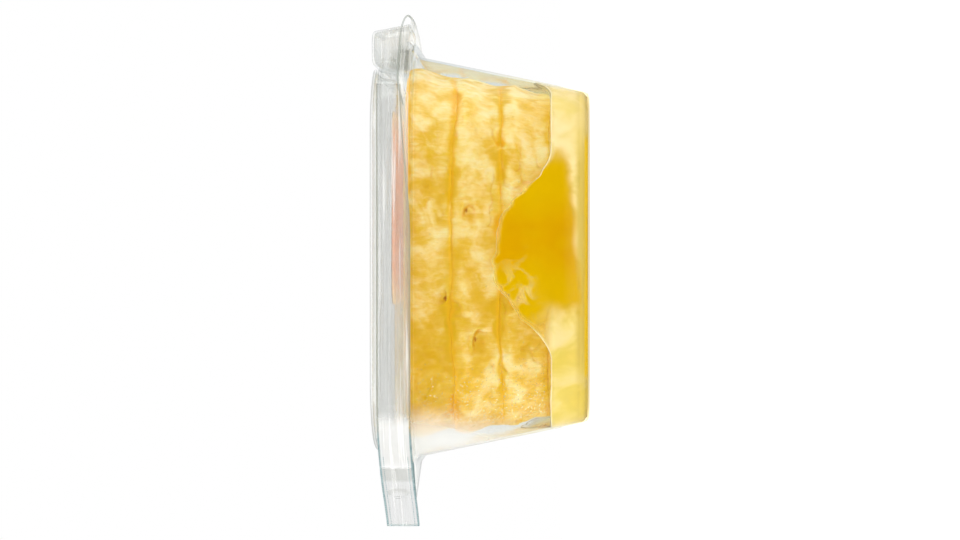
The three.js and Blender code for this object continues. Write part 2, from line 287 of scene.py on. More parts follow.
@dataclass(frozen=True)
class ClearSheet:
    """Clear thermoformed sheet: mirrors more at a slant, has drawn lines and orange peel, and painted shade
    and light.
    """

    name: str
    through: Colour
    haze: float = 0.0
    lines: float = 0.0
    slanted: Colour = (0.91, 0.925, 0.925)
    shaded: Colour = (0.81, 0.815, 0.795)
    wet: Colour = (0.97, 0.9, 0.6)
    milk_and_painted_light: Colour = (0.95, 0.95, 0.935)
    edge: Colour = (0.45, 0.5, 0.5)
    peel_grain: float = 260.0
    line_grain: float = 1500.0
    ripple: float = 0.00006

    def material(self) -> bpy.types.Material:
        """Builds the material.

        Returns:
            The material.
        """
        s = Surface(self.name)
        peel = s.bump(s.noise(s.place(), self.peel_grain, 3.0), self.ripple)
        slant = s.slant(peel)
        drawn = s.noise(s.place((0.02, 0.02, 1.0)), self.line_grain, 3.0)
        lines = s.stored("drawn") * self.lines
        straight = s.clear(self.through)
        slanted = s.clear(self.slanted)
        shaded = s.clear(self.shaded)
        is_wet, shade = s.stored("wet"), s.stored("shade")
        slanted = s.blended(is_wet, slanted, s.clear(self.wet))
        body = s.blended((slant ** 2.5) * 0.9, straight, slanted)
        # Painted shade: a grey tint where the mesh stores shade (folds, lift tab, the bead's crest, the pull
        # tab's crease and grip) and along the darker drawn lines.
        body = s.blended(shade + (1.0 - drawn.between(0.3, 0.5)) * lines, body, shaded)
        milky = s.paint({"Base Color": self.milk_and_painted_light, "Roughness": 0.5})
        # Milky white where the sheet is fogged, along the paler drawn lines and as haze; the pale lines and
        # the haze are painted white reflection over a milky sheet.
        body = s.blended(s.stored("fog") + drawn.between(0.5, 0.75) * lines + self.haze, body, milky)
        # Only the side that faces out mirrors the room, and less of it where the sheet is wet. Where shade is
        # stored the mirror is dimmed too: painted shade on the reflection.
        gloss = s.gloss(0.04, (0.92, 0.935, 0.935), peel)
        dim = s.gloss(0.04, (0.55, 0.58, 0.58), peel)
        outside = (1.0 - s.geometry("Backfacing")) * (1.0 - is_wet * 0.7)
        sheet = s.blended(s.mirror(slant, 0.045) * outside, body, s.blended(shade, gloss, dim))
        # Painted shade: a grey-green outline where the sheet is seen almost edge-on.
        sheet = s.blended(slant.between(0.955, 1.0) * (0.5 - is_wet * 0.5), sheet, s.clear(self.edge))
        return s.finished(s.blended(s.stored("open"), sheet, s.clear()))


@dataclass(frozen=True)
class CutEdge:
    """The die-cut edge of the sheet, where light comes out grey-green, and plain grey where it lies close."""

    name: str = "cut_edge"
    colour: Colour = (0.07, 0.17, 0.19)
    pale: Colour = (0.62, 0.74, 0.74)
    grey: Colour = (0.42, 0.4, 0.33)

    def material(self) -> bpy.types.Material:
        """Builds the material.

        Returns:
            The material.
        """
        s = Surface(self.name)
        streak = s.noise(s.place((1.0, 1.0, 0.3)), 900.0, 2.0).between(0.35, 0.7)
        dash, plain = s.stored("dash"), s.stored("plain")
        tone = s.mixed(streak * 0.2 + dash * 0.6, self.colour, self.pale)
        tone = s.mixed(plain, tone, self.grey)
        body = s.paint({"Base Color": tone, "Roughness": 0.3})
        clear = s.clear((0.9, 0.95, 0.95))
        return s.finished(s.blended(0.95 - dash * 0.5 - plain * 0.4, clear, body))


@dataclass(frozen=True)
class Flesh:
    """Wet pineapple flesh: cream wisps over golden cells with brown specks, orange painted as shade in its
    seams and pits, and a faint painted glow.
    """

    name: str = "pineapple_flesh"
    cream: Colour = (0.97, 0.81, 0.42)
    butter: Colour = (0.88, 0.6, 0.1)
    gold: Colour = (0.75, 0.45, 0.008)
    orange: Colour = (0.8, 0.37, 0.002)
    speck: Colour = (0.5, 0.16, 0.01)
    cut: Colour = (0.72, 0.43, 0.01)
    broad_grain: float = 100.0
    patch_grain: float = 280.0
    fibre_grain: float = 1000.0

    def material(self) -> bpy.types.Material:
        """Builds the material.

        Returns:
            The material.
        """
        s = Surface(self.name)
        relief, seam, crease = s.stored("relief"), s.stored("seam"), s.stored("crease")
        across, up = s.part(s.place(), "X"), s.part(s.place(), "Z")
        broad = s.noise(s.place(turn=(0.6, 0.4, 0.8)), self.broad_grain, 4.0, 0.8)
        patches = s.noise(s.place((1.0, 1.0, 0.8), (0.3, 0.7, 0.5)), self.patch_grain, 3.0, 0.6)
        fibres = s.noise(s.place((1.0, 1.0, 0.18), (0.5, 0.2, 0.4)), self.fibre_grain, 3.0, 0.7)
        # The outer side: creamier where it stands out, as painted light, and towards +X and towards the base;
        # golden by the seams, as juice colour with painted shade.
        golden = seam * (patches.between(0.35, 0.65) * 0.45 + 0.12)
        fluff = broad * 0.84 + patches * 0.48 + fibres * 0.26 + relief * 0.16 - golden + 0.1
        fluff = fluff + across * 2.0 - up * 4.0
        colour = s.mixed(fluff.between(0.57, 1.04), self.gold, self.butter)
        colour = s.mixed(fluff.between(0.79, 1.2), colour, self.cream)
        # Painted shade: orange in the hollows and where the rings meet.
        colour = s.mixed(1.0 - relief.between(0.05, 0.7), colour, self.orange)
        colour = s.mixed(crease * 0.45, colour, self.orange)
        # The cut face, which looks up: golden, with creamier rays.
        level = s.part(s.geometry("Normal"), "Z").between(0.6, 0.95)
        rays = (broad * 0.9 + patches * 0.4 + fibres * 0.3 - seam * 0.35).between(0.4, 1.0)
        colour = s.mixed(level * 0.75, colour, s.mixed(rays, self.cut, self.cream))
        colour = s.mixed(s.stored("speck"), colour, self.speck)
        # Painted glow: the flesh gives off a tenth of its colour as light, and more of it, more golden, where
        # the rings meet.
        glow = s.mixed(crease * 0.16 + 0.1, BLACK, s.mixed(crease * 0.8, colour, self.gold))
        inputs = {
            "Base Color": colour,
            "Roughness": 0.3 + 0.25 * fibres,
            "Normal": s.bump(fibres * 0.4 + patches * 0.6, 0.0005, 0.35),
            "Subsurface Weight": 0.8,
            "Subsurface Radius": (1.0, 0.7, 0.25),
            "Subsurface Scale": 0.004,
            "Specular IOR Level": 0.25,
            "Coat Weight": 0.1,
            "Coat Roughness": 0.2,
            "Emission Color": glow,
            "Emission Strength": 1.0,
        }
        return s.finished(s.paint(inputs))


@dataclass(frozen=True)
class JuiceLook:
    """Pineapple juice: a pale veil with lemon and cream wisps, deep gold where it stands deep, darker lemon
    at its foot as painted shade, and a faint painted glow.
    """

    name: str = "juice"
    thin: Colour = (1.0, 0.98, 0.8)
    lemon: Colour = (0.8, 0.63, 0.12)
    cream: Colour = (0.93, 0.77, 0.41)
    gold: Colour = (0.675, 0.41, 0.0)
    amber: Colour = (0.645, 0.325, 0.0)
    strip: Colour = (0.66, 0.5, 0.1)
    umber: Colour = (0.86, 0.59, 0.02)

    def material(self) -> bpy.types.Material:
        """Builds the material.

        Returns:
            The material.
        """
        s = Surface(self.name)
        wisps = s.noise(s.place((1.0, 1.0, 0.7), (0.5, 0.3, 0.6)), 130.0, 4.0, 0.5).between(0.25, 0.75)
        across = s.part(s.place(), "X")
        gaps = s.noise(s.place((1.0, 1.0, 0.8), (0.4, 0.6, 0.3)), 210.0, 3.0, 0.7).between(0.42, 0.64)
        cloud = s.stored("cloud") * 1.12 - wisps * 0.25 - s.stored("film") * gaps * 0.6
        shallow = (1.0 - cloud).between(0.0, 1.0)
        deep = 1.0 - shallow ** 1.7
        veil = s.stored("veil") * (0.9 + wisps * 0.3)
        clear = s.clear(self.thin)
        tone = s.mixed(s.stored("amber") * (1.0 - wisps * 0.6), self.gold, self.amber)
        pale = s.mixed((wisps + across * 8.0).between(-0.1, 1.3), self.lemon, self.cream)
        # Painted shade: a darker lemon low on the wall.
        pale = s.mixed(s.stored("strip"), pale, self.strip)
        tone = s.mixed(deep, s.mixed(s.stored("panel"), pale, self.umber), tone)
        # Painted glow: the juice gives off a tenth of its tone as light.
        inputs = {
            "Base Color": tone,
            "Roughness": 0.6,
            "Specular IOR Level": 0.0,
            "Emission Color": tone,
            "Emission Strength": 0.1,
        }
        murky = s.paint(inputs)
        is_shadow = s.ray("Shadow")
        inside = s.geometry("Backfacing")
        body = s.blended(deep.most(veil) * (1.0 - is_shadow * 0.8) * (1.0 - inside * 0.75), clear, murky)
        gloss = s.gloss(0.04)
        return s.finished(s.blended(s.mirror(s.slant(), 0.004) * s.stored("wall"), body, gloss))


@dataclass(frozen=True)
class Droplet:
    """Clear drops on the sheet: condensation, and the bead of juice along the contact line, with a rim of
    painted shade and a milky part that glows as painted light.
    """

    name: str
    rim: Colour
    gleam: float = 1.0
    glow: float = 0.0
    through: Colour = (0.97, 0.97, 0.95)

    def material(self) -> bpy.types.Material:
        """Builds the material.

        Returns:
            The material.
        """
        s = Surface(self.name)
        slant = s.slant()
        clear = s.clear(self.through)
        dark = s.clear(self.rim)
        # Painted shade: the rim colour where the drop is seen at a slant.
        body = s.blended(slant ** 3.0, clear, dark)
        # Painted light: the milky part is lit and glows.
        pale = (0.97, 0.88, 0.6)
        inputs = {
            "Base Color": pale,
            "Roughness": 0.4,
            "Emission Color": pale,
            "Emission Strength": self.glow,
        }
        milk_and_painted_light = s.paint(inputs)
        body = s.blended(s.stored("milk_and_painted_light"), body, milk_and_painted_light)
        return s.finished(s.blended(s.mirror(slant, 0.03) * self.gleam, body, s.gloss(0.03)))


@dataclass(frozen=True)
class LabelPrint:
    """A coated paper label: a mottled salmon field that fades to cream towards its +X and -X ends, painted
    lighter and glowing below and darker above.
    """

    name: str = "label_print"
    salmon: Colour = (0.98, 0.54, 0.38)
    cream: Colour = (0.96, 0.86, 0.66)
    fades: tuple[float, float, float, float] = (-0.012, 0.004, 0.034, 0.046)

    def material(self) -> bpy.types.Material:
        """Builds the material.

        Returns:
            The material.
        """
        s = Surface(self.name)
        across = s.part(s.place(), "X")
        mottle = s.noise(s.place((1.0, 0.3, 1.0)), 500.0, 4.0, 0.6)
        start, full, fade, end = self.fades
        field = across.between(start, full) * (1.0 - across.between(fade, end))
        colour = s.mixed(field, self.cream, self.salmon)
        colour = s.mixed(mottle.between(0.4, 0.65) * 0.5, colour, (0.95, 0.88, 0.8))
        # Painted light and shade: the side that faces down is lit and glows, the rest is darkened.
        facing = s.geometry("Normal")
        below = (s.part(facing, "Z") * -1.0).between(0.0, 0.5)
        inputs = {
            "Base Color": s.mixed(below * 0.3 + 0.7, BLACK, colour),
            "Roughness": 0.35 + 0.2 * mottle,
            "Normal": s.bump(mottle, 0.00003),
            "Coat Weight": 0.2,
            "Emission Color": s.mixed(below * 0.5, BLACK, colour),
            "Emission Strength": 1.4,
        }
        return s.finished(s.paint(inputs))


# ---------------------------------------------------------------- mesh helpers


class Noise:
    """Smooth seeded noise from a lattice of random numbers."""

    SIDE = 48

    def __init__(self, seed: int) -> None:
        """Draws the lattice.

        Args:
            seed: the seed of its random numbers.
        """
        self.lattice = np.random.default_rng(seed).random((self.SIDE,) * 3)

    def __call__(self, points: Array, grain: Union[float, tuple[float, float, float]]) -> Array:
        """Reads the noise.

        Args:
            points: places, in millimetres, with the axes last.
            grain: size of its features, in millimetres, on each axis.

        Returns:
            A number from 0 to 1 for each point.
        """
        at = points / np.asarray(grain) + 100.37
        cell = np.floor(at).astype(int)
        step = at - cell
        step = step * step * (3 - 2 * step)
        total = np.zeros(points.shape[:-1])
        for corner in np.ndindex(2, 2, 2):
            near = np.asarray(corner)
            weight = np.prod(np.where(near == 1, step, 1 - step), axis=-1)
            index = (cell + near) % self.SIDE
            total += weight * self.lattice[index[..., 0], index[..., 1], index[..., 2]]
        return total


def smooth(low: float, high: float, value: Array) -> Array:
    """A smooth step from 0 at low to 1 at high."""
    share = np.clip((np.asarray(value, float) - low) / (high - low), 0, 1)
    return share * share * (3 - 2 * share)


def draws(seed: int, count: int) -> Array:
    """Draws the same repeatable numbers that shape the solid rings.

    Args:
        seed: the seed of the numbers.
        count: how many to draw.

    Returns:
        The numbers, from 0 to 1.
    """
    modulus, factor, spread = 2147483647, 16807, 104729
    state = seed * spread % modulus
    found = []
    for _ in range(count):
        state = state * factor % modulus
        found.append(state / modulus)
    return np.array(found)


def bezier(ends: Iterable[tuple[float, float]], steps: int) -> Array:
    """Points along a cubic curve, without its first point.

    Args:
        ends: its start, its two controls and its end.
        steps: how many points.

    Returns:
        The points.
    """
    t = np.linspace(0, 1, steps + 1)[1:, None]
    weights = (math.comb(3, k) * (1 - t) ** (3 - k) * t**k for k in range(4))
    return sum(weight * np.array(end) for weight, end in zip(weights, ends))


def filleted(points: Iterable[tuple[float, float]], radius: float, steps: int = 4) -> Array:
    """Rounds the inner corners of an open outline.

    Args:
        points: the outline's corners.
        radius: how far along each side a corner is cut back, at most.
        steps: straight pieces in each rounded corner.

    Returns:
        The rounded outline's points.
    """
    corners = np.asarray(list(points), float)
    rounded = [corners[0]]
    for before, corner, after in zip(corners, corners[1:], corners[2:]):
        back, ahead = before - corner, after - corner
        cut_back = min(radius, 0.45 * np.linalg.norm(back))
        cut_ahead = min(radius, 0.45 * np.linalg.norm(ahead))
        start = corner + back / np.linalg.norm(back) * cut_back
        end = corner + ahead / np.linalg.norm(ahead) * cut_ahead
        for t in np.linspace(0, 1, steps + 1):
            rounded.append((1 - t) ** 2 * start + 2 * t * (1 - t) * corner + t * t * end)
    rounded.append(corners[-1])
    return np.array(rounded)


def grid_faces(rows: int, columns: int, close_rows: bool, close_columns: bool) -> Array:
    """The quads of a grid of vertices, numbered row by row.

    Args:
        rows: how many rows.
        columns: how many columns.
        close_rows: whether the last row joins the first.
        close_columns: whether the last column joins the first.

    Returns:
        Four vertex numbers for each quad.
    """
    r = np.arange(rows if close_rows else rows - 1)[:, None]
    c = np.arange(columns if close_columns else columns - 1)[None, :]
    up, right = (r + 1) % rows, (c + 1) % columns
    quads = np.stack([r * columns + c, r * columns + right, up * columns + right, up * columns + c], -1)
    return quads.reshape(-1, 4)


@dataclass
class Skin:
    """A closed skin being built, in the tub's axes: vertices, faces and the finish of each face."""

    points: list[Array] = field(default_factory=list)
    faces: list[Array] = field(default_factory=list)
    finishes: list[Array] = field(default_factory=list)
    count: int = 0

    def add(self, points: Array, faces: Array, finish: int = 0) -> int:
        """Adds points and the faces between them.

        Args:
            points: the places, one row each.
            faces: vertex numbers, counted from the first of these points. Negative counts from the end.
            finish: number of the faces' finish.

        Returns:
            The number of the first point added.
        """
        first = self.count
        self.points.append(np.asarray(points, float).reshape(-1, 3))
        self.faces.append(np.asarray(faces, int) + first)
        self.finishes.append(np.full(len(faces), finish))
        self.count += len(self.points[-1])
        return first

    def loft(self, rows: Array) -> Array:
        """Adds a skin over loops of points, with its two end loops capped by fans.

        Args:
            rows: loops of points, as an array of loops by points by axes.

        Returns:
            The finish number of each quad, as loops by points, which may be changed.
        """
        count, columns = rows.shape[:2]
        base = self.add(rows, grid_faces(count, columns, False, True))
        finish = self.finishes[-1].reshape(count - 1, columns)
        along = np.arange(columns)
        ahead = (along + 1) % columns
        for row, turn in ((0, -1), (count - 1, 1)):
            ring = base + row * columns
            middle = self.add(rows[row].mean(axis=0), np.zeros((0, 3)))
            fan = np.stack([ring + along, ring + ahead, np.full(columns, middle)], -1)
            self.faces[-1] = fan[:, ::turn]
            self.finishes[-1] = np.zeros(columns, int)
        return finish

    def piece(
        self,
        name: str,
        materials: list[bpy.types.Material],
        slot: str,
        sharp: float = 40.0,
        stored: Optional[dict[str, Array]] = None,
    ) -> bpy.types.Object:
        """Makes the Blender object, in the frame's metres, and lets it ride on the body.

        Args:
            name: the piece's name.
            materials: one for each finish number.
            slot: not used.
            sharp: edges that bend by more than this many degrees stay crisp.
            stored: numbers for each vertex, by name.

        Returns:
            The object.
        """
        points = (np.concatenate(self.points) + Tub.AXIS) * MM
        sizes = np.concatenate([np.full(len(f), f.shape[1]) for f in self.faces])
        corners = np.concatenate([f.reshape(-1) for f in self.faces])
        mesh = bpy.data.meshes.new(name)
        mesh.vertices.add(len(points))
        mesh.vertices.foreach_set("co", points.astype(np.float32).ravel())
        mesh.loops.add(len(corners))
        mesh.loops.foreach_set("vertex_index", corners.astype(np.int32))
        mesh.polygons.add(len(sizes))
        starts = np.concatenate([[0], np.cumsum(sizes)[:-1]])
        mesh.polygons.foreach_set("loop_start", starts.astype(np.int32))
        mesh.polygons.foreach_set("material_index", np.concatenate(self.finishes).astype(np.int32))
        for key, values in (stored or {}).items():
            attribute = mesh.attributes.new(key, "FLOAT", "POINT")
            attribute.data.foreach_set("value", values.astype(np.float32).ravel())
        mesh.update(calc_edges=True)
        mesh.validate()
        for material in materials:
            mesh.materials.append(material)
        mesh.polygons.foreach_set("use_smooth", np.ones(len(mesh.polygons), bool))
        mesh.set_sharp_from_angle(angle=math.radians(sharp))
        made = bpy.data.objects.new(name, mesh)
        bpy.context.scene.collection.objects.link(made)
        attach(made, BODY)
        return made


# ---------------------------------------------------------------- the pack


def tub_axis() -> Array:
    """Finds the tub's axis from the box of its square flange.

    Returns:
        Where the axis stands in the frame, in millimetres.
    """
    low, high = (np.array(corner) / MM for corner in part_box("tub"))
    half = (high[1] - low[1]) / 2
    return np.array([high[0] - half, low[1] + half, 0.0])


@dataclass
class Sizes:
    """The driving sizes that the pieces share."""

    sheet: float = 0.6
    gap: float = 0.3
    corner_share: float = 0.37
    base_half: float = 46.2
    rim_half: float = 55.5
    rim_z: float = 48.0
    flange_half: float = 58.6
    push_up_half: float = 32.0
    push_up: float = 1.6
    wall_foot_z: float = 1.3
    wall_top_z: float = 46.8
    wall_top_half: float = 55.3

    def wall(self, z: Array) -> Array:
        """Half width of the tub's outer face at a height."""
        rise = (np.asarray(z, float) - self.wall_foot_z) / (self.wall_top_z - self.wall_foot_z)
        return self.base_half + rise * (self.wall_top_half - self.base_half)


SIZES = Sizes()
ARC_STEPS = 24
SIDE_STEPS = 30


def square_loop(half: float, arc: int = ARC_STEPS, side: int = SIDE_STEPS) -> Array:
    """A square with rounded corners, anticlockwise from its +X side's middle.

    Args:
        half: its half width.
        arc: straight pieces in each corner.
        side: straight pieces along each side.

    Returns:
        Its points, without height.
    """
    radius = half * SIZES.corner_share
    inner = half - radius
    found = []
    for quarter in range(4):
        turn = quarter * math.pi / 2
        cos, sin = math.cos(turn), math.sin(turn)
        for t in np.linspace(0, 1, side // 2 + 1)[:-1]:
            found.append((half, t * inner, cos, sin))
        for a in np.linspace(0, math.pi / 2, arc + 1)[:-1]:
            found.append((inner + radius * math.cos(a), inner + radius * math.sin(a), cos, sin))
        for t in np.linspace(1, 0, side // 2 + 1)[:-1]:
            found.append((t * inner, half, cos, sin))
    return np.array([(x * c - y * s, x * s + y * c) for x, y, c, s in found])


WALL_LOOP = square_loop(1.0, 36, 120)


def redrawn(loop: Array, edge: Array) -> Array:
    """Draws a stretch of a loop along another line.

    Args:
        loop: the loop, anticlockwise.
        edge: the line, anticlockwise too, with its ends on the loop.

    Returns:
        The changed loop.
    """
    turn = np.arctan2(loop[:, 1], loop[:, 0]) - math.atan2(edge[0, 1], edge[0, 0])
    span = math.atan2(edge[-1, 1], edge[-1, 0]) - math.atan2(edge[0, 1], edge[0, 0])
    turn, span = turn % (2 * math.pi), span % (2 * math.pi)
    chosen = np.flatnonzero(turn <= span)
    order = chosen[np.argsort(turn[chosen])]
    share = np.linspace(0, 1, len(order))
    length = np.concatenate([[0], np.cumsum(np.linalg.norm(np.diff(edge, axis=0), axis=1))])
    changed = loop.copy()
    for axis in range(2):
        changed[order, axis] = np.interp(share * length[-1], length, edge[:, axis])
    return changed


def spread(rows: Array, inner: float, outer: float, edge: Array) -> None:
    """Draws the outer part of a skin out to another edge.

    Args:
        rows: the skin's loops, which are changed.
        inner: half width of the rounded square that stays as it is.
        outer: half width of the loops that become the edge.
        edge: the edge's loop.
    """
    base = square_loop(inner)
    for row in rows:
        share = (np.abs(row[:, 0]).max() - inner) / (outer - inner)
        if share > 0:
            row[:, :2] = base + share * (edge - base)


def at_rim(rows: Array) -> Array:
    """Which quads of a skin lie in the flange's thin outer edge."""
    outermost = np.abs(rows[:, 0, 0]) > SIZES.flange_half - 0.08
    return (outermost[:-1] & outermost[1:])[:, None]


def square_rows(profile: Array) -> Array:
    """Draws a rounded square for each point of a profile.

    Args:
        profile: rows of (half width, height).

    Returns:
        The loops, as an array of loops by points by axes.
    """
    rows = []
    for half, z in profile:
        flat = square_loop(half)
        rows.append(np.column_stack([flat, np.full(len(flat), z)]))
    return np.array(rows)


def folds(profile: Array) -> Array:
    """Finds how sharply a rounded profile turns.

    Args:
        profile: its points, with four in each rounding.

    Returns:
        The turn at each point, from 0 to 1, and 0 where each rounding ends.
    """
    step = np.diff(profile, axis=0)
    turn = np.abs(np.angle(np.exp(1j * np.diff(np.arctan2(step[:, 1], step[:, 0])))))
    middle = np.isin(np.arange(len(profile)) % 4, (2, 3))
    return middle * smooth(0.08, 0.35, np.concatenate([[0], turn, [0]]))


@dataclass
class Tub:
    """The open tub: pushed-up base, drafted walls, and a flange with the flap behind the pull tab."""

    AXIS = tub_axis()

    flap_length: float = 21.0
    flap_back: tuple[float, float] = (-58.6, -16.0)
    rises: tuple[float, ...] = (10.0, 18.0, 26.0, 34.0, 41.0)
    fog: float = 0.42
    film: float = 0.6
    fold_shade: float = 0.4
    name: str = "tub_shell"

    def profile(self) -> Array:
        """Draws the tub's section from the axis, along the outside and back along the inside.

        Returns:
            Rows of (half width, height).
        """
        s = SIZES
        under = s.rim_z - s.sheet
        corners = [
            (0.4, s.push_up),
            (s.push_up_half, s.push_up),
            (s.push_up_half + 1.5, 0.0),
            (s.base_half - 1.3, 0.0),
            (s.base_half - 0.4, 0.4),
            (s.base_half, s.wall_foot_z),
            *((float(s.wall(z)), z) for z in self.rises),
            (s.wall_top_half, s.wall_top_z),
            (s.rim_half + 0.4, under),
            (s.flange_half, under),
            (s.flange_half, s.rim_z),
            (s.rim_half + 0.4, s.rim_z),
            (s.rim_half - 0.4, s.rim_z),
            (s.rim_half - 0.8, s.rim_z - 1.0),
            *((float(s.wall(z)) - s.sheet, z) for z in self.rises[::-1]),
            (s.base_half - s.sheet, 1.8),
            (s.base_half - 1.0, 1.0),
            (s.base_half - 1.6, s.sheet),
            (s.push_up_half + 1.9, s.sheet),
            (s.push_up_half + 0.4, s.push_up + s.sheet),
            (0.4, s.push_up + s.sheet),
        ]
        return filleted(corners, 0.5, 3)

    def build(self, sheet: bpy.types.Material, edge: bpy.types.Material) -> bpy.types.Object:
        """Builds the shell in place of its solid.

        Args:
            sheet: the clear sheet's material.
            edge: the cut edge's material.

        Returns:
            The piece.
        """
        rows = square_rows(self.profile())
        rim = at_rim(rows)
        spread(rows, SIZES.rim_half + 0.4, SIZES.flange_half, self.flange_edge())
        skin = Skin()
        finish = skin.loft(rows)
        # The cut edge shows on the flap behind the pull tab alone.
        finish[rim & (rows[:-1, :, 0] < -56) & (rows[:-1, :, 1] < -10)] = 1
        stored = self.marks(np.concatenate(skin.points), rows.shape[1])
        piece = skin.piece(self.name, [sheet, edge], "clear_plastic", stored=stored)
        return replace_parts(piece, "tub")

    def marks(self, points: Array, around: int) -> dict[str, Array]:
        """Where the sheet is fogged at its -X end, shaded in its folds, and wet with juice.

        Args:
            points: the shell's vertices.
            around: how many of them each row of its section has.

        Returns:
            Numbers for each vertex, by name.
        """
        x, y, z = points.T
        shade = np.zeros(len(x))
        section = np.repeat(self.fold_shade * folds(self.profile()), around)
        shade[: len(section)] = section
        fog = self.fog * smooth(-42, -52, x - 0.2 * (z - 30)) * smooth(-6, -36, y) * smooth(10, 32, z)
        film = self.film * smooth(32, 18, z) * smooth(36, 44, np.abs(x)) * smooth(-16, -30, y)
        return {"fog": fog, "shade": shade, "wet": np.maximum(film, smooth(4.0, 1.4, z))}

    def flange_edge(self) -> Array:
        """Draws the flange's outline with the flap behind the pull tab.

        Returns:
            The outline's points, without height.
        """
        half = SIZES.flange_half
        inner = half * (1 - SIZES.corner_share)
        start = np.array([-1.0, -1.0]) * (inner + half * SIZES.corner_share * math.sqrt(0.5))
        tip = start + self.flap_length * math.sqrt(0.5) * np.array([-1.0, 1.0])
        back = np.array(self.flap_back)
        return redrawn(square_loop(half), np.array([back, tip, start]))


@dataclass
class Lid:
    """The clip-on lid: sunken panel, bead, shoulder, wall, flange with its curled lift tab, corner lock."""

    top_z: float = 59.1
    panel_z: float = 53.3
    wall_half: float = 57.6
    ledge_z: float = 56.8
    tab_reach: float = 67.8
    tab_start_x: float = 44.0
    tab_tip_y: float = -27.0
    tab_curl: float = 2.6
    lock: tuple[float, float, float, float] = (50.5, 63.4, -48.0, -19.0)
    lock_top: float = 59.1
    lock_draft: float = 1.8
    lock_rounds: tuple[float, float] = (3.6, 4.2)
    fold_shade: float = 0.55
    tab_shade: float = 0.6
    tab_shade_reach: tuple[float, float] = (66.94444, 68.75)
    crest_shade: float = 0.6
    edge_grey: float = 0.7
    panel_fog: float = 0.01
    wall_fog: float = 0.25
    name: str = "lid_shell"

    def profile(self) -> Array:
        """Draws the lid's section, from the axis along its underside, round the flange and back on top.

        Returns:
            Rows of (half width, height).
        """
        s, w = SIZES, self.wall_half
        foot = s.rim_z + s.gap
        top = [
            (0.4, self.panel_z),
            (w - 10.0, self.panel_z),
            (w - 9.0, self.panel_z + 0.6),
            (w - 8.2, self.top_z - 0.9),
            (w - 7.4, self.top_z - 0.3),
            (w - 6.4, self.top_z),
            (w - 5.0, self.top_z),
            (w - 4.1, self.top_z - 0.5),
            (w - 3.5, self.ledge_z + 0.3),
            (w - 1.4, self.ledge_z),
            (w - 0.6, self.ledge_z - 0.6),
            (w, foot + s.sheet + 0.2),
            (w + 0.2, foot + s.sheet),
            *((w + 0.2 + t * (s.flange_half - w - 0.2), foot + s.sheet) for t in (0.1, 0.2, 0.3, 0.5, 0.75)),
            (s.flange_half, foot + s.sheet),
            (s.flange_half, foot),
            *((w + 0.2 + t * (s.flange_half - w - 0.2), foot) for t in (0.75, 0.5, 0.3, 0.2, 0.1)),
        ]
        under = [
            (w - 0.3, foot),
            (w - 0.7, foot + 0.5),
            (w - 1.2, self.ledge_z - 0.9),
            (w - 1.8, self.ledge_z - s.sheet),
            (w - 4.0, self.ledge_z - 0.3),
            (w - 4.6, self.top_z - 0.9),
            (w - 5.3, self.top_z - s.sheet),
            (w - 6.2, self.top_z - s.sheet),
            (w - 6.9, self.top_z - 0.8),
            (w - 7.6, self.top_z - 1.2),
            (w - 8.5, self.panel_z + 0.2),
            (w - 9.7, self.panel_z - s.sheet),
            (0.4, self.panel_z - s.sheet),
        ]
        return filleted(top + under, 0.4, 3)[::-1]

    def curl(self, x: Array, y: Array) -> Array:
        """Finds how far the lift tab curls up.

        Args:
            x: the places along X.
            y: the places along Y.

        Returns:
            The lift at each place, in millimetres.
        """
        along = smooth(14, 50, x) * smooth(2, 48, -y)
        inner = self.wall_half * (1 - SIZES.corner_share)
        past = np.hypot(np.maximum(0, np.abs(x) - inner), np.maximum(0, np.abs(y) - inner))
        return self.tab_curl * along * smooth(-0.2, 3, past - self.wall_half * SIZES.corner_share)

    def flange_edge(self) -> Array:
        """Draws the flange's outline with the lift tab.

        Returns:
            The outline's points, without height.
        """
        half, reach, start = SIZES.flange_half, self.tab_reach, self.tab_start_x
        tip = (reach, self.tab_tip_y)
        before = [(start - 14.0, -half), (start, -half)]
        front = bezier([(start, -half), (start + 10, -half), (reach, -42.5), tip], 40)
        back = bezier([tip, (reach, -15.0), (62.0, -6.0), (half, 0.0)], 30)
        return redrawn(square_loop(half), np.concatenate([before, front, back]))

    def add_lock(self, skin: Skin) -> None:
        """Adds the raised hollow box that locks the lid beside the lift tab.

        Args:
            skin: the lid's skin.
        """
        left, right, front, back = self.lock
        foot = SIZES.rim_z + SIZES.gap + SIZES.sheet
        top, draft, sheet = self.lock_top, self.lock_draft, SIZES.sheet
        outer = [(0.0, foot), (0.1, foot + 0.6), (draft - 0.2, top - 0.8), (draft + 0.1, top - 0.2)]
        outer += [(draft + 0.6, top), (draft + 3.2, top)]
        inner = [(inset + sheet * 0.8, z - sheet * (z > foot + 1)) for inset, z in outer]
        rows = []
        for inset, z in [*inner[::-1], *outer]:
            loop = []
            for quarter, (across, up) in enumerate(((1, -1), (1, 1), (-1, 1), (-1, -1))):
                reach = max(0.4, self.lock_rounds[quarter == 0] - 0.5 * inset)
                x = (right - inset - reach) if across > 0 else (left + inset + reach)
                y = (back - inset - reach) if up > 0 else (front + inset + reach)
                a = np.linspace(-math.pi / 2, 0, 9) + quarter * math.pi / 2
                loop.append(np.column_stack([x + reach * np.cos(a), y + reach * np.sin(a), np.full(9, z)]))
            rows.append(np.concatenate(loop))
        skin.loft(np.array(rows))

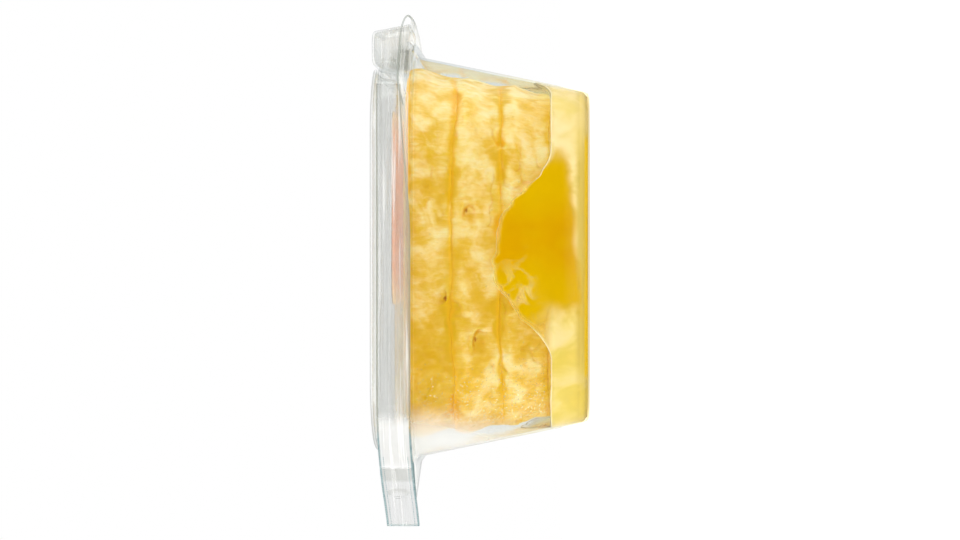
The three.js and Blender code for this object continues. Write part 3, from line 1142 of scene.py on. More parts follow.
    def build(self, sheet: bpy.types.Material, edge: bpy.types.Material) -> bpy.types.Object:
        """Builds the lid in place of its solid.

        Args:
            sheet: the clear sheet's material.
            edge: the cut edge's material.

        Returns:
            The piece.
        """
        rows = square_rows(self.profile())
        rim = at_rim(rows)
        spread(rows, self.wall_half + 0.2, SIZES.flange_half, self.flange_edge())
        low = rows[..., 2] < SIZES.rim_z + SIZES.gap + SIZES.sheet + 0.1
        rows[..., 2] += np.where(low, self.curl(rows[..., 0], rows[..., 1]), 0)
        skin = Skin()
        finish = skin.loft(rows)
        finish[rim & (rows[:-1, :, 0] > 40) & (rows[:-1, :, 1] < 0)] = 1
        self.add_lock(skin)
        stored = self.marks(np.concatenate(skin.points), rows.shape[1])
        piece = skin.piece(self.name, [sheet, edge], "clear_plastic", stored=stored)
        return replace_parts(piece, "lid")

    def marks(self, points: Array, around: int) -> dict[str, Array]:
        """Where the sheet is shaded, fogged or drawn, how grey its edge is, and where the lock opens it.

        Args:
            points: the lid's vertices, with the lock's after its own.
            around: how many of them each row of its section has.

        Returns:
            Numbers for each vertex, by name.
        """
        x, y, z = points.T
        out = np.maximum(np.abs(x), np.abs(y))
        section = np.repeat(self.fold_shade * folds(self.profile()), around)
        start, full = self.tab_shade_reach
        shade = self.tab_shade * smooth(start, full, np.hypot(x, y)) * (x > 50) * (y < 0) * (z < 53)
        shade[: len(section)] += section
        crest = self.crest_shade * smooth(self.top_z - 0.35, self.top_z - 0.05, z) * smooth(52, 48, x)
        left, _, front, back = self.lock
        opened = (x > left + 0.5) & (y > front + 0.5) & (y < back - 0.5) & (z > SIZES.rim_z + 1.8)
        opened[len(section) :] = False
        panel = (np.abs(z - self.panel_z) < 0.7) & (out < self.wall_half - 9.5)
        wall = smooth(52.5, 50.0, z) * (out > self.wall_half - 1)
        return {
            "shade": np.maximum(shade, crest),
            "fog": self.panel_fog * panel + self.wall_fog * wall,
            "plain": np.full(len(x), self.edge_grey),
            "open": opened,
            "drawn": ~panel,
        }


@dataclass
class TearStrip:
    """The band along the -Y side, which leaves the -X corner as a free pull tab with a grip mark."""

    low_z: float = 47.7
    height: float = 9.1
    start_x: float = 46.0
    rise: float = 2.6
    rise_from_x: float = 4.0
    tip_x: float = 75.2
    droop: float = 0.5
    grip_from_tip: float = 14.6
    grip_reach: tuple[float, float] = (1.5, 3.2)
    grip_lift: float = 0.85
    crease: tuple[float, float] = (6.4, 11.2)
    crease_lift: float = 0.35
    dash: float = 0.8
    dash_depth: float = 0.12
    perforation: float = 1.1
    name: str = "tear_band"

    def path(self) -> tuple[Array, Array, Array]:
        """Draws the band's outer face as a line seen from above, from its +X end to the pull tab's tip.

        Returns:
            The line's places, its outward directions, and its lengths past the bend.
        """
        half = SIZES.flange_half
        radius = half * SIZES.corner_share + SIZES.gap + SIZES.sheet
        inner = half * (1 - SIZES.corner_share)
        outer_y = half + SIZES.gap + SIZES.sheet
        straight = [(x, -outer_y, 0.0, -1.0) for x in np.linspace(self.start_x, -inner, 130)[:-1]]
        bend = []
        for angle in np.linspace(1.5 * math.pi, 1.25 * math.pi, 40)[:-1]:
            c, s = math.cos(angle), math.sin(angle)
            bend.append((radius * c - inner, radius * s - inner, c, s))
        leave = -inner - radius * math.sqrt(0.5)
        out = -math.sqrt(0.5)
        tab = [(leave - t, leave + t, out, out) for t in np.linspace(0, self.tip_x + leave, 220)]
        table = np.array([*straight, *bend, *tab])
        past = (leave - table[:, 0]) * math.sqrt(2)
        return table[:, :2], table[:, 2:], past

    def dashes(self, places: Array, past: Array) -> Array:
        """Where perforations notch the free tab's edges, from 0 to 1 along the path."""
        walk = np.concatenate([[0], np.cumsum(np.linalg.norm(np.diff(places, axis=0), axis=1))])
        return smooth(-0.2, 0.2, np.sin(walk * 2 * math.pi / self.dash)) * smooth(-20, -6, past)

    def heights(self) -> Array:
        """Spaces the rows up the band, close together by its edges and its perforations.

        Returns:
            The rows' shares of the band's height.
        """
        inset = self.perforation / self.height
        foot = [0.0, 0.055, inset, inset + 0.03]
        head = [0.97 - inset, 1 - inset, 0.945, 1.0]
        return np.concatenate([foot, np.linspace(inset + 0.05, 0.95 - inset, 20), head])

    def section(self, places: Array, outward: Array, past: Array, dash: Array) -> tuple[Array, Array]:
        """The band's loops of points, each up its outer face and down its inner one.

        Args:
            places: the path.
            outward: the path's outward directions.
            past: the path's lengths past the bend.
            dash: where the edges are notched.

        Returns:
            The loops, and how much painted shade lies along the grip's rim at each point.
        """
        x = places[:, 0]
        sag = self.droop * smooth(SIZES.flange_half, self.tip_x, -x)
        notch = self.dash_depth * dash
        low = self.low_z + self.rise * smooth(self.rise_from_x, self.start_x, x) - sag + notch
        top = self.low_z + self.height - sag - notch
        share = self.heights()[:, None]
        z = low + (top - low) * share
        start, end = self.crease
        swell = self.crease_lift * smooth(start - 1.2, start, past) * smooth(end + 1.2, end, past)
        from_grip = x - places[-1, 0] - self.grip_from_tip * math.sqrt(0.5)
        above_grip = z - self.low_z - 0.5 * self.height
        far = np.hypot(from_grip / self.grip_reach[0], above_grip / self.grip_reach[1])
        # Painted shade: a dark line round the grip's +X side.
        rim = smooth(0.35, 0.0, np.abs(far - 0.85)) * smooth(-0.4, 0.2, from_grip)
        lift = swell * np.sin(math.pi * share) ** 0.5 + self.grip_lift * smooth(1.0, 0.55, far)
        outer = np.dstack([places + outward * lift[..., None], z])
        inner = np.dstack([places + outward * (lift - SIZES.sheet)[..., None], z])
        return np.concatenate([outer, inner[::-1]]).transpose(1, 0, 2), np.concatenate([rim, 0 * rim]).T

    def marks(self, past: Array, dash: Array, rim: Array) -> dict[str, Array]:
        """Where the sheet is shaded, whitened and drawn, and where its cut edge is notched or plain grey.

        Args:
            past: the path's lengths past the bend.
            dash: where the edges are notched.
            rim: how much painted shade lies along the grip's rim at each point.

        Returns:
            Numbers for each vertex, by name.
        """
        around = rim.shape[1]
        top = around // 2 - 1
        start, end = self.crease
        upper = np.isin(np.arange(around), (top - 1, top, top + 1, top + 2)) * 0.15
        # Painted shade: a grey band over the crease, darkest along its start.
        shade = smooth(start - 0.8, start, past) * smooth(end + 0.8, end, past)
        shade += 0.6 * np.exp(-(((past - start) / 0.35) ** 2))
        # Milky white just before the crease.
        whitened = smooth(-17, -10, past) * smooth(start, start - 1.0, past)
        return {
            "dash": np.maximum(dash[:, None], upper),
            "plain": np.repeat(smooth(-6, -12, past), around),
            "shade": 0.8 * shade[:, None] + rim,
            "fog": np.repeat(0.45 * whitened, around),
            "drawn": np.ones(rim.size),
        }

    def build(self, sheet: bpy.types.Material, edge: bpy.types.Material) -> bpy.types.Object:
        """Builds the strip in place of its solid.

        Args:
            sheet: the clear sheet's material.
            edge: the cut edge's material.

        Returns:
            The piece.
        """
        places, outward, past = self.path()
        dash = self.dashes(places, past)
        rows, rim = self.section(places, outward, past, dash)
        count, around = rows.shape[:2]
        top = around // 2 - 1
        quads = grid_faces(count, around, False, True)
        row, side = quads[:, 0] // around, quads[:, 0] % around
        # Cut faces: both long edges, the tip, and the perforations along the free tab's edges.
        cut = np.isin(side, (0, top - 1, top, top + 1, around - 2, around - 1)) | (row >= count - 2)
        cut |= np.isin(side, (2, top - 3)) & (past[row] > 1.0) & (dash[row] < 0.5)
        skin = Skin()
        skin.add(rows, quads[:, ::-1])
        skin.finishes[-1] = cut.astype(int)
        up = np.arange(top)
        for end, turn in ((0, 1), (count - 1, -1)):
            cap = np.stack([up, up + 1, around - 2 - up, around - 1 - up], -1) + end * around
            skin.faces.append(cap[:, ::turn])
            skin.finishes.append(np.ones(len(cap), int))
        piece = skin.piece(self.name, [sheet, edge], "tear_plastic", 35.0, self.marks(past, dash, rim))
        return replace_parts(piece, "tear_strip")


class Seams:
    """The faces where neighbouring rings lie on each other: how they wander, and where they gape."""

    COUNT = 5

    def __init__(self, seed: int = 70) -> None:
        """Draws the noise of each seam.

        Args:
            seed: the seed of the lowest seam.
        """
        self.noises = [Noise(seed + number) for number in range(self.COUNT)]

    def around(self, angle: Array) -> Array:
        """Points on a circle of the rings' size, so that noise read there has no join."""
        return 46.0 * np.stack([np.cos(angle), np.sin(angle), 0 * angle], -1)

    def rise(self, number: int, angle: Array) -> Array:
        """Finds how far a seam wanders up.

        Args:
            number: the seam's number.
            angle: the angle of each point.

        Returns:
            The rise at each angle, in millimetres.
        """
        if number in (0, self.COUNT - 1):
            return 0 * angle
        circle, noise = self.around(angle), self.noises[number]
        return 2.4 * (noise(circle, 11.0) - 0.5) + 0.9 * (noise(circle, 3.5) - 0.5)

    def gape(self, number: int, angle: Array) -> Array:
        """Finds how far a seam gapes.

        Args:
            number: the seam's number.
            angle: the angle of each point.

        Returns:
            The gape at each angle, from 0 to 1.
        """
        if number in (0, self.COUNT - 1):
            return 0 * angle
        circle = self.around(angle) + 23.0
        return smooth(0.52, 0.78, self.noises[number](circle, 6.5))

    def glow(self, number: int, angle: Array, away: Array) -> Array:
        """How golden the flesh is near a seam: juice colour with painted shade.

        Args:
            number: the seam's number.
            angle: the angle of each point.
            away: its distance from the seam, in millimetres.

        Returns:
            The share, from 0 to 1.
        """
        circle, noise = self.around(angle) - 17.0, self.noises[number]
        away = away + 1.6 * (noise(circle, 2.2) - 0.5)
        wide = 0.4 + 3.2 * noise(circle, 4.0) ** 2
        full = (0.25 + 0.9 * smooth(0.35, 0.75, noise(circle, 7.0))) * (0.3 if number < 2 else 1.0)
        return full * np.exp(-((away / wide) ** 2))


@dataclass
class Ring:
    """One cored pineapple ring, with the same uneven form as its solid and the flesh's fine relief."""

    number: int
    low: float
    thick: float
    radius: float
    x: float
    y: float
    seed: int
    core: float = 13.0
    squareness: float = 3.6
    taper: float = 1.15
    eyes: int = 9
    columns: int = 900
    side_steps: int = 27
    face_steps: int = 26
    rounding: float = 0.45
    lap: float = 0.6
    grain_seed: int = 23

    def profile(self) -> Array:
        """Draws the ring's section as a closed line, outer side first.

        Returns:
            Rows of (radius, height).
        """
        t, r, e, lean = self.thick, self.radius, self.rounding, self.taper
        middle = (self.core + r) / 2
        low, high = -self.lap, t + self.lap
        corners = [
            (r, 0.5 * t),
            (r + lean, 0.75 * t),
            (r + lean - 0.1, high - e),
            (r + lean - e, high - 0.1),
            (r - 3.5, high),
            (middle, t - 0.15),
            (self.core + 1.4, t),
            (self.core, t - 1.4),
            (self.core, 1.4),
            (self.core + 1.4, 0.0),
            (middle, 0.15),
            (r - 3.5, low),
            (r - lean - e, low + 0.1),
            (r - lean - 0.1, low + e),
            (r - lean, 0.25 * t),
            (r, 0.5 * t),
        ]
        line = filleted(corners, 0.8, 4)
        walk = np.concatenate([[0], np.cumsum(np.linalg.norm(np.diff(line, axis=0), axis=1))])
        outer = np.linspace(0, 0.5 * t + 2.6, self.side_steps)
        faces = np.linspace(outer[-1], walk[-1] - outer[-1], self.face_steps)[1:-1]
        stops = np.concatenate([outer, faces, walk[-1] - outer[::-1]])[:-1]
        return np.column_stack([np.interp(stops, walk, line[:, k]) for k in range(2)])

    def build(self, flesh: bpy.types.Material, seams: Seams) -> bpy.types.Object:
        """Builds the ring in place of its solid.

        Args:
            flesh: the flesh's material.
            seams: the rings' shared faces.

        Returns:
            The piece.
        """
        section = self.profile()
        angle = np.linspace(0, 2 * math.pi, self.columns, endpoint=False)
        a, r = np.meshgrid(angle, section[:, 0])
        _, z = np.meshgrid(angle, section[:, 1])
        share = smooth(self.core, self.radius, r)
        c, s = np.abs(np.cos(a)), np.abs(np.sin(a))
        square = (c**self.squareness + s**self.squareness) ** (-1 / self.squareness)
        sunk, speck = self.sunk(a, z, seams)
        grown = 1 + (square - 1) * share - sunk * share / r
        up = z / self.thick
        drift = seams.rise(self.number - 1, a) * (1 - up) + seams.rise(self.number, a) * up
        points = np.stack([r * np.cos(a) * grown, r * np.sin(a) * grown, z + drift * share**3], -1)
        points, rough = self.roughened(points + (self.x, self.y, self.low))
        skin = Skin()
        skin.add(points, grid_faces(len(section), self.columns, True, True)[:, ::-1])
        rounding = self.radius + self.taper * 2 * (up - 0.5) - r
        high = 0.3 * rough - smooth(self.radius - 4, self.radius - 0.5, r) * (0.4 * sunk + 0.15 * rounding)
        stored = {"speck": speck, **self.marks(a, r, z, high, seams)}
        piece = skin.piece(f"cut_ring_{self.number}", [flesh], "pineapple", 180.0, stored)
        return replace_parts(piece, f"pineapple_ring_{self.number}")

    def marks(self, a: Array, r: Array, z: Array, high: Array, seams: Seams) -> dict[str, Array]:
        """How far the flesh stands out, how golden it is by the seams and in the rays, and where rings meet,
        which steer its painted shade and glow.

        Args:
            a: the angle of each point.
            r: its distance from the ring's axis.
            z: its height above the ring's lower face.
            high: how far it stands out from the ring's full form.
            seams: the rings' shared faces.

        Returns:
            Numbers for each vertex, by name.
        """
        edge = smooth(self.radius - 4, self.radius - 0.5, r)
        rays = Noise(self.grain_seed + 1)(np.stack([60 * np.cos(a), 60 * np.sin(a), 0.2 * r], -1), 3.0)
        rays = (1 - edge) * smooth(0.35, 0.75, rays)
        # Lower away from the outer edge, so that more painted orange shade shows on the faces.
        relief = np.clip(1 + high, 0, 1) * (0.75 + 0.25 * edge) * (1 - 0.5 * rays)
        seam, crease = 0.9 * rays, 0 * a
        for number, away in ((self.number - 1, z), (self.number, self.thick - z)):
            seam += seams.glow(number, a, away)
            wide = 0.65 + 0.9 * seams.gape(number, a)
            # Where the rings meet, for painted shade and glow in the join.
            crease += np.exp(-(((away + 0.15) / wide) ** 2)) * edge * (0.3 if number < 2 else 1.0)
        return {"relief": relief, "seam": seam, "crease": crease}

    def sunk(self, a: Array, z: Array, seams: Seams) -> tuple[Array, Array]:
        """How deep the ring's edge lies under its full form, and where it has a brown speck.

        Args:
            a: the angle of each point.
            z: its height above the ring's lower face.
            seams: the rings' shared faces.

        Returns:
            The depth in millimetres, and the speck's share.
        """
        random = draws(self.seed, self.eyes * 3 + 6)
        depth = 0.175 * (1 + np.sin(3 * a + 6 * random[0])) + 0.125 * (1 + np.sin(7 * a + 6 * random[1]))
        speck = 0 * a
        for i in range(self.eyes):
            shift, size, height = random[6 + 3 * i : 9 + 3 * i]
            centre = (i + 0.6 * shift) * 2 * math.pi / self.eyes
            turn = np.arctan2(np.sin(a - centre), np.cos(a - centre)) * self.radius
            rise = z - (0.2 + 0.6 * height) * self.thick
            depth += 0.5 * (0.8 + 1.4 * size) * np.exp(-((turn / 2.6) ** 2) - (rise / 2.2) ** 2)
            way = np.arctan2(rise, turn) - 6 * shift
            curl = np.hypot(turn * (0.55 + 0.5 * shift), rise) - 0.9 - 0.9 * size
            arc = smooth(0.0, 0.8, np.cos(way)) * (0.3 + size)
            depth += arc * (0.7 * np.exp(-((curl / 0.25) ** 2)) - 0.4 * np.exp(-(((curl - 0.6) / 0.3) ** 2)))
            end = np.hypot((turn - 1.5 * math.cos(6 * shift)) * 0.6, rise - 1.5 * math.sin(6 * shift))
            speck += smooth(0.45, 0.2, end) * (size > 0.4)
        for number, away in ((self.number - 1, z), (self.number, self.thick - z)):
            gape = seams.gape(number, a)
            depth += 1.0 * gape * np.exp(-((away / (0.5 + 0.9 * gape)) ** 2))
        return depth, np.clip(speck, 0, 1)

    def roughened(self, points: Array) -> tuple[Array, Array]:
        """Adds lumps, fibres and crevices.

        Args:
            points: the smooth ring's grid of points.

        Returns:
            The rough grid, and how far each point was moved, in millimetres.
        """
        noise = Noise(self.grain_seed)
        up = np.roll(points, -1, 0) - np.roll(points, 1, 0)
        along = np.roll(points, -1, 1) - np.roll(points, 1, 1)
        normal = np.cross(along, up)
        normal /= np.linalg.norm(normal, axis=-1, keepdims=True)
        level = np.abs(normal[..., 2])
        warp = 2.0 * np.stack([noise(points + 5 * k, 3.0) for k in range(3)], -1)
        lumps = noise(points + warp, 4.0)
        cells = noise(points + warp + 31, 1.3)
        fibres = noise(points + 0.4 * warp, (0.8, 0.8, 3.2))
        rifts = 1 - smooth(0.0, 0.035, np.abs(noise(points + warp + 77, (6.0, 6.0, 4.0)) - 0.5))
        rifts = rifts * smooth(0.5, 0.7, noise(points + 11, 8.0))
        rough = 0.6 * (lumps - 0.7) + 0.2 * (cells - 0.5) + 0.25 * (fibres - 0.5) - 0.5 * rifts
        rough = np.minimum(rough, 0.12) * (1 - 0.4 * level)
        return points + normal * rough[..., None], rough


@dataclass
class RingStack:
    """The four rings, from the base up."""

    rings: tuple[Ring, ...] = (
        Ring(1, 2.5, 8.6, 45.4, 0.1, -0.1, 3),
        Ring(2, 11.4, 12.5, 47.7, 0.4, -0.4, 17),
        Ring(3, 24.2, 12.6, 50.1, 0.5, -0.6, 29),
        Ring(4, 37.1, 12.4, 52.0, 1.2, -1.2, 41),
    )

    def build(self, flesh: bpy.types.Material) -> list[bpy.types.Object]:
        """Builds every ring.

        Args:
            flesh: the flesh's material.

        Returns:
            The pieces.
        """
        seams = Seams()
        return [ring.build(flesh, seams) for ring in self.rings]


@dataclass
class Juice:
    """The juice in the foot of the tub, drawn up the walls where a ring nearly touches them."""

    level: float = 10.2
    climb: float = 15.2
    climb_half: float = 30.0
    climb_centre: float = 0.5
    line_half: float = 50.0
    into_wall: float = 0.3
    floor_z: float = 0.4
    floor_veil: float = 0.6
    rows: int = 50
    name: str = "pineapple_juice"

    def contact(self, loop: Array) -> Array:
        """Finds the height of the contact line round the wall.

        Args:
            loop: places round the wall, without height.

        Returns:
            The height at each place, in millimetres.
        """
        noise = Noise(5)
        flat = np.column_stack([loop, np.zeros(len(loop))])
        lift = np.zeros(len(loop))
        for out, along, centre, share in self.sides(loop):
            hill = share * smooth(self.climb_half, 5, np.abs(along - centre))
            lift = np.maximum(lift, np.where(out > 0.6 * np.abs(along), hill, 0))
        wobble = (noise(flat, 5.0) - 0.5) * 3.2 + (noise(flat + 9, 1.8) - 0.5) * 1.4
        wobble = wobble * (0.1 + 0.9 * smooth(0.0, 0.3, lift))
        corner = smooth(14, 0, np.hypot(loop[:, 0] - 49, loop[:, 1] + 28))
        return self.level + self.climb * lift + wobble + 5.0 * corner

    def line(self) -> Array:
        """Height of the contact line at each point of the wall's loop."""
        return self.contact(WALL_LOOP * self.line_half)

    def sides(self, places: Array) -> list[tuple[Array, Array, float, float]]:
        """Looks at the places from each side of the tub in turn.

        Args:
            places: the places, with or without height.

        Returns:
            For each side, distances out to it and along it, the middle of its climb, and how high that is.
        """
        x, y = places[:, 0], places[:, 1]
        return [
            (-y, x, self.climb_centre, 1.0),
            (x, y, 4.0, 0.62),
            (y, -x, -6.0, 0.8),
            (-x, -y, 3.0, 0.55),
        ]

    def wall_point(self, loop: Array, z: Array, into: float) -> Array:
        """Moves a loop of the unit square out to the tub's inner face at a height.

        Args:
            loop: the loop for a half width of 1.
            z: height of each point.
            into: how far past the inner face, into the sheet.

        Returns:
            The places.
        """
        half = SIZES.wall(z) - SIZES.sheet + into
        foot = SIZES.base_half - SIZES.sheet + into
        half = np.where(z < 1.8, foot - 1.2 * smooth(1.8, 0.4, z) ** 1.5, half)
        return np.column_stack([loop * half[:, None], z])

    def build(self, look: bpy.types.Material) -> bpy.types.Object:
        """Builds the juice's body.

        Args:
            look: the juice's material.

        Returns:
            The piece.
        """
        loop, top, floor, panel = WALL_LOOP, self.line(), self.floor_z, SIZES.push_up + 0.3
        # The floor follows the raised base, the wall's rows reach the contact line, the rest is the surface.
        base = ((0.4, panel), (SIZES.push_up_half + 0.2, panel), (SIZES.push_up_half + 1.7, floor))
        rows = [np.column_stack([loop * half, np.full(len(loop), z)]) for half, z in base]
        for t in np.linspace(0, 1, self.rows):
            rows.append(self.wall_point(loop, floor + (top - floor) * t, self.into_wall))
        edge = rows[-1]
        for t in np.linspace(0, 1, 16)[1:]:
            inwards = 1 - 0.97 * t
            sunk = self.level + (edge[:, 2] - self.level) * math.exp(-t * 42)
            rows.append(np.column_stack([edge[:, :2] * inwards, sunk - 0.35 * (1 - math.exp(-t * 30))]))
        skin = Skin()
        skin.loft(np.array(rows))
        everywhere = np.concatenate(skin.points)
        row = np.arange(len(everywhere)) // len(loop)
        at_wall = (row >= len(base)) & (row < len(base) + self.rows)
        names = ("cloud", "amber", "film", "veil", "panel", "strip")
        stored = dict(zip(names, [*self.depth(everywhere), *self.foot_glow(everywhere)]))
        stored = {key: value * at_wall for key, value in stored.items()}
        stored["veil"][row < len(base)] = self.floor_veil
        return skin.piece(self.name, [look], "pineapple", 50.0, {**stored, "wall": at_wall})

    def depth(self, points: Array) -> Array:
        """Finds how the juice looks through each point of the wall.

        Args:
            points: places on the wall.

        Returns:
            How deep it stands, how amber it is and how much of a film it is, from 0 to 1.
        """
        noise = Noise(8)
        wander = 7.0 * (noise(points, 6.0) - 0.5)
        under = self.contact(points[:, :2]) - points[:, 2]
        thin = smooth(11, 19, points[:, 2] + 0.3 * wander)
        cloud, amber, film = np.zeros((3, len(points)))
        for out, along, centre, share in self.sides(points):
            away = np.abs(along - centre - 5.0) + wander
            foot = smooth(-3.2, 1.6, points[:, 2] + 0.15 * wander - 4.0 - 0.08 * along)
            facing = out > 0.6 * np.abs(along)
            here = smooth(29, 16, away) * smooth(-0.8, 2.0, under) * foot * facing
            film = np.maximum(film, thin * smooth(6, -4, along - centre) * facing)
            cloud = np.maximum(cloud, here)
            amber = np.maximum(amber, here * smooth(16, 5, away + 3.0))
        return np.array([cloud, amber, film])

    def foot_glow(self, points: Array) -> Array:
        """Finds how the foot of the juice looks through each point of the wall.

        Args:
            points: places on the wall.

        Returns:
            How strong the pale veil is, where the raised panel shows, and where the darker lemon of painted
            shade lies.
        """
        x, y, z = np.abs(points).T
        veil = np.maximum(0.22 + 0.68 * smooth(13, 9, z), 1.2 * smooth(4.6, 1.8, z))
        panel = smooth(1.6, 1.1, z) * smooth(34, 31, np.minimum(x, y))
        corner = 0.65 * smooth(24, 6, np.hypot(x - 46, y - 46))
        # The darker lemon, painted shade, lies low on the wall and less by the corners.
        return np.array([veil, panel, smooth(4.4, 2.6, z) * (1 - corner)])


@dataclass
class ContactLine:
    """The bead along the contact line: full where the juice stands free, thin where it is drawn up."""

    juice: Juice
    full: float = 0.5
    thin: float = 0.13
    name: str = "juice_bead"

    def build(self, look: bpy.types.Material) -> bpy.types.Object:
        """Builds the bead, a flat rounded tube on the tub's inner face.

        Args:
            look: the bead's material.

        Returns:
            The piece.
        """
        loop, z = WALL_LOOP, self.juice.line()
        line = self.juice.wall_point(loop, z, 0.0)
        drawn_up = smooth(2.0, 7.0, z - self.juice.level)
        size = self.full + (self.thin - self.full) * drawn_up
        ahead = np.roll(line, -1, 0) - np.roll(line, 1, 0)
        ahead /= np.linalg.norm(ahead, axis=1, keepdims=True)
        inwards = -np.column_stack([loop / np.linalg.norm(loop, axis=1, keepdims=True), np.zeros(len(loop))])
        across = np.cross(ahead, inwards)
        rows = []
        for angle in np.linspace(0, 2 * math.pi, 14, endpoint=False):
            c, s = math.cos(angle), math.sin(angle)
            side, lift = size * s, size * 0.7 * c + size * 0.3
            rows.append(line + across * side[:, None] + inwards * lift[:, None])
        rows = np.array(rows)
        skin = Skin()
        skin.add(rows, grid_faces(len(rows), rows.shape[1], True, True))
        # Painted highlight: milky along the bead's crest, less where it is drawn up.
        crest = smooth(0.6, 1.0, -np.cos(np.linspace(0, 2 * math.pi, len(rows), endpoint=False)))
        milk_and_painted_light = ((0.08 + 0.55 * crest[:, None]) * (1 - 0.5 * drawn_up)).ravel()
        return skin.piece(self.name, [look], "clear_plastic", 180.0, {"milk_and_painted_light": milk_and_painted_light})


@dataclass
class Condensation:
    """Fine dew on the inside of the walls: thick at the -X end of the near side, sparse elsewhere."""

    juice: Juice
    seed: int = 11
    thick_count: int = 3700
    sparse_count: int = 800
    low_z: float = 12.0
    high_z: float = 46.5
    radii: tuple[float, ...] = (0.07, 0.1, 0.14, 0.2)
    chances: tuple[float, ...] = (0.4, 0.35, 0.2, 0.05)
    flatness: float = 0.55
    rings: int = 2
    sides: int = 8
    name: str = "dew_drops"

    def spots(self) -> tuple[Array, Array]:
        """Draws the drops' places at random.

        Returns:
            The drops' places and radii.
        """
        rng = np.random.default_rng(self.seed)
        loop, number = WALL_LOOP, np.arange(len(WALL_LOOP))
        places, sizes = [], []
        thick = smooth(-0.5, -0.85, loop[:, 0]) * (loop[:, 1] < -0.6)
        for count, chance in ((self.thick_count, thick), (self.sparse_count, np.ones(len(loop)))):
            where = rng.choice(number, count, p=chance / chance.sum())
            z = rng.uniform(self.low_z, self.high_z, count)
            sizes.append(rng.choice(self.radii, count, p=self.chances))
            nudge = rng.uniform(-0.5, 0.5, count)
            here = loop[where] + (loop[(where + 1) % len(loop)] - loop[where]) * nudge[:, None]
            places.append(self.juice.wall_point(here, z, -0.02))
        return np.concatenate(places), np.concatenate(sizes)

    def dome(self) -> tuple[Array, Array]:
        """Builds a closed dome with a radius of 1 and its foot at height 0.

        Returns:
            Its points and its triangles.
        """
        around = self.sides
        lean = np.repeat(np.arange(1, self.rings + 1) / self.rings * math.pi / 2, around)
        turn = np.tile(np.linspace(0, 2 * math.pi, around, endpoint=False), self.rings)
        side = np.column_stack([np.sin(lean) * np.cos(turn), np.sin(lean) * np.sin(turn), np.cos(lean)])
        points = np.concatenate([[(0.0, 0.0, 1.0)], side, [(0.0, 0.0, 0.0)]])
        faces = []
        last = 1 + (self.rings - 1) * around
        for i in range(around):
            j = (i + 1) % around
            faces.append((0, 1 + i, 1 + j))
            for upper in range(1, last, around):
                lower = upper + around
                faces += [(upper + i, lower + i, lower + j), (upper + i, lower + j, upper + j)]
            faces.append((last + i, len(points) - 1, last + j))
        return points, np.array(faces)

    def build(self, look: bpy.types.Material) -> bpy.types.Object:
        """Builds all drops as one piece of flat domes.

        Args:
            look: the water's material.

        Returns:
            The piece.
        """
        places, sizes = self.spots()
        dome, faces = self.dome()
        # Each dome stands on its own side of the wall, turned a little towards the tub's axis.
        inwards = -places * (1.0, 1.0, 0.0)
        on_y_side = np.abs(places[:, 1]) > np.abs(places[:, 0])
        inwards[:, 0] *= np.where(on_y_side, 0.12, 1.0)
        inwards[:, 1] *= np.where(on_y_side, 1.0, 0.12)
        inwards /= np.linalg.norm(inwards, axis=1, keepdims=True)
        side = np.cross(inwards, (0.0, 0.0, 1.0))
        side /= np.linalg.norm(side, axis=1, keepdims=True)
        axes = np.stack([side, np.cross(side, inwards), inwards], 1)
        drops = places[:, None] + (dome * sizes[:, None, None] * (1.0, 1.0, self.flatness)) @ axes
        skin = Skin()
        first = np.arange(len(places))[:, None, None] * len(dome)
        skin.add(drops, (faces + first).reshape(-1, 3))
        # Painted glow: a milky share that grows towards the -X end.
        milk_and_painted_light = np.repeat(0.04 + 0.18 * smooth(-24, -38, places[:, 0]), len(dome))
        return skin.piece(self.name, [look], "clear_plastic", 60.0, {"milk_and_painted_light": milk_and_painted_light})


# ---------------------------------------------------------------- the studio


class Softbox(Enum):
    """The studio's soft lights: place, aim, width, height and power."""

    OVERHEAD = ((0.0, -0.1, 0.9), (0.0, 0.0, 0.02), 0.9, 0.9, 6.0)
    LEFT = ((-0.8, -0.5, 0.4), (0.0, 0.0, 0.03), 0.6, 0.6, 3.3)
    RIGHT = ((0.8, -0.6, 0.35), (0.0, 0.0, 0.03), 0.5, 0.6, 2.8)


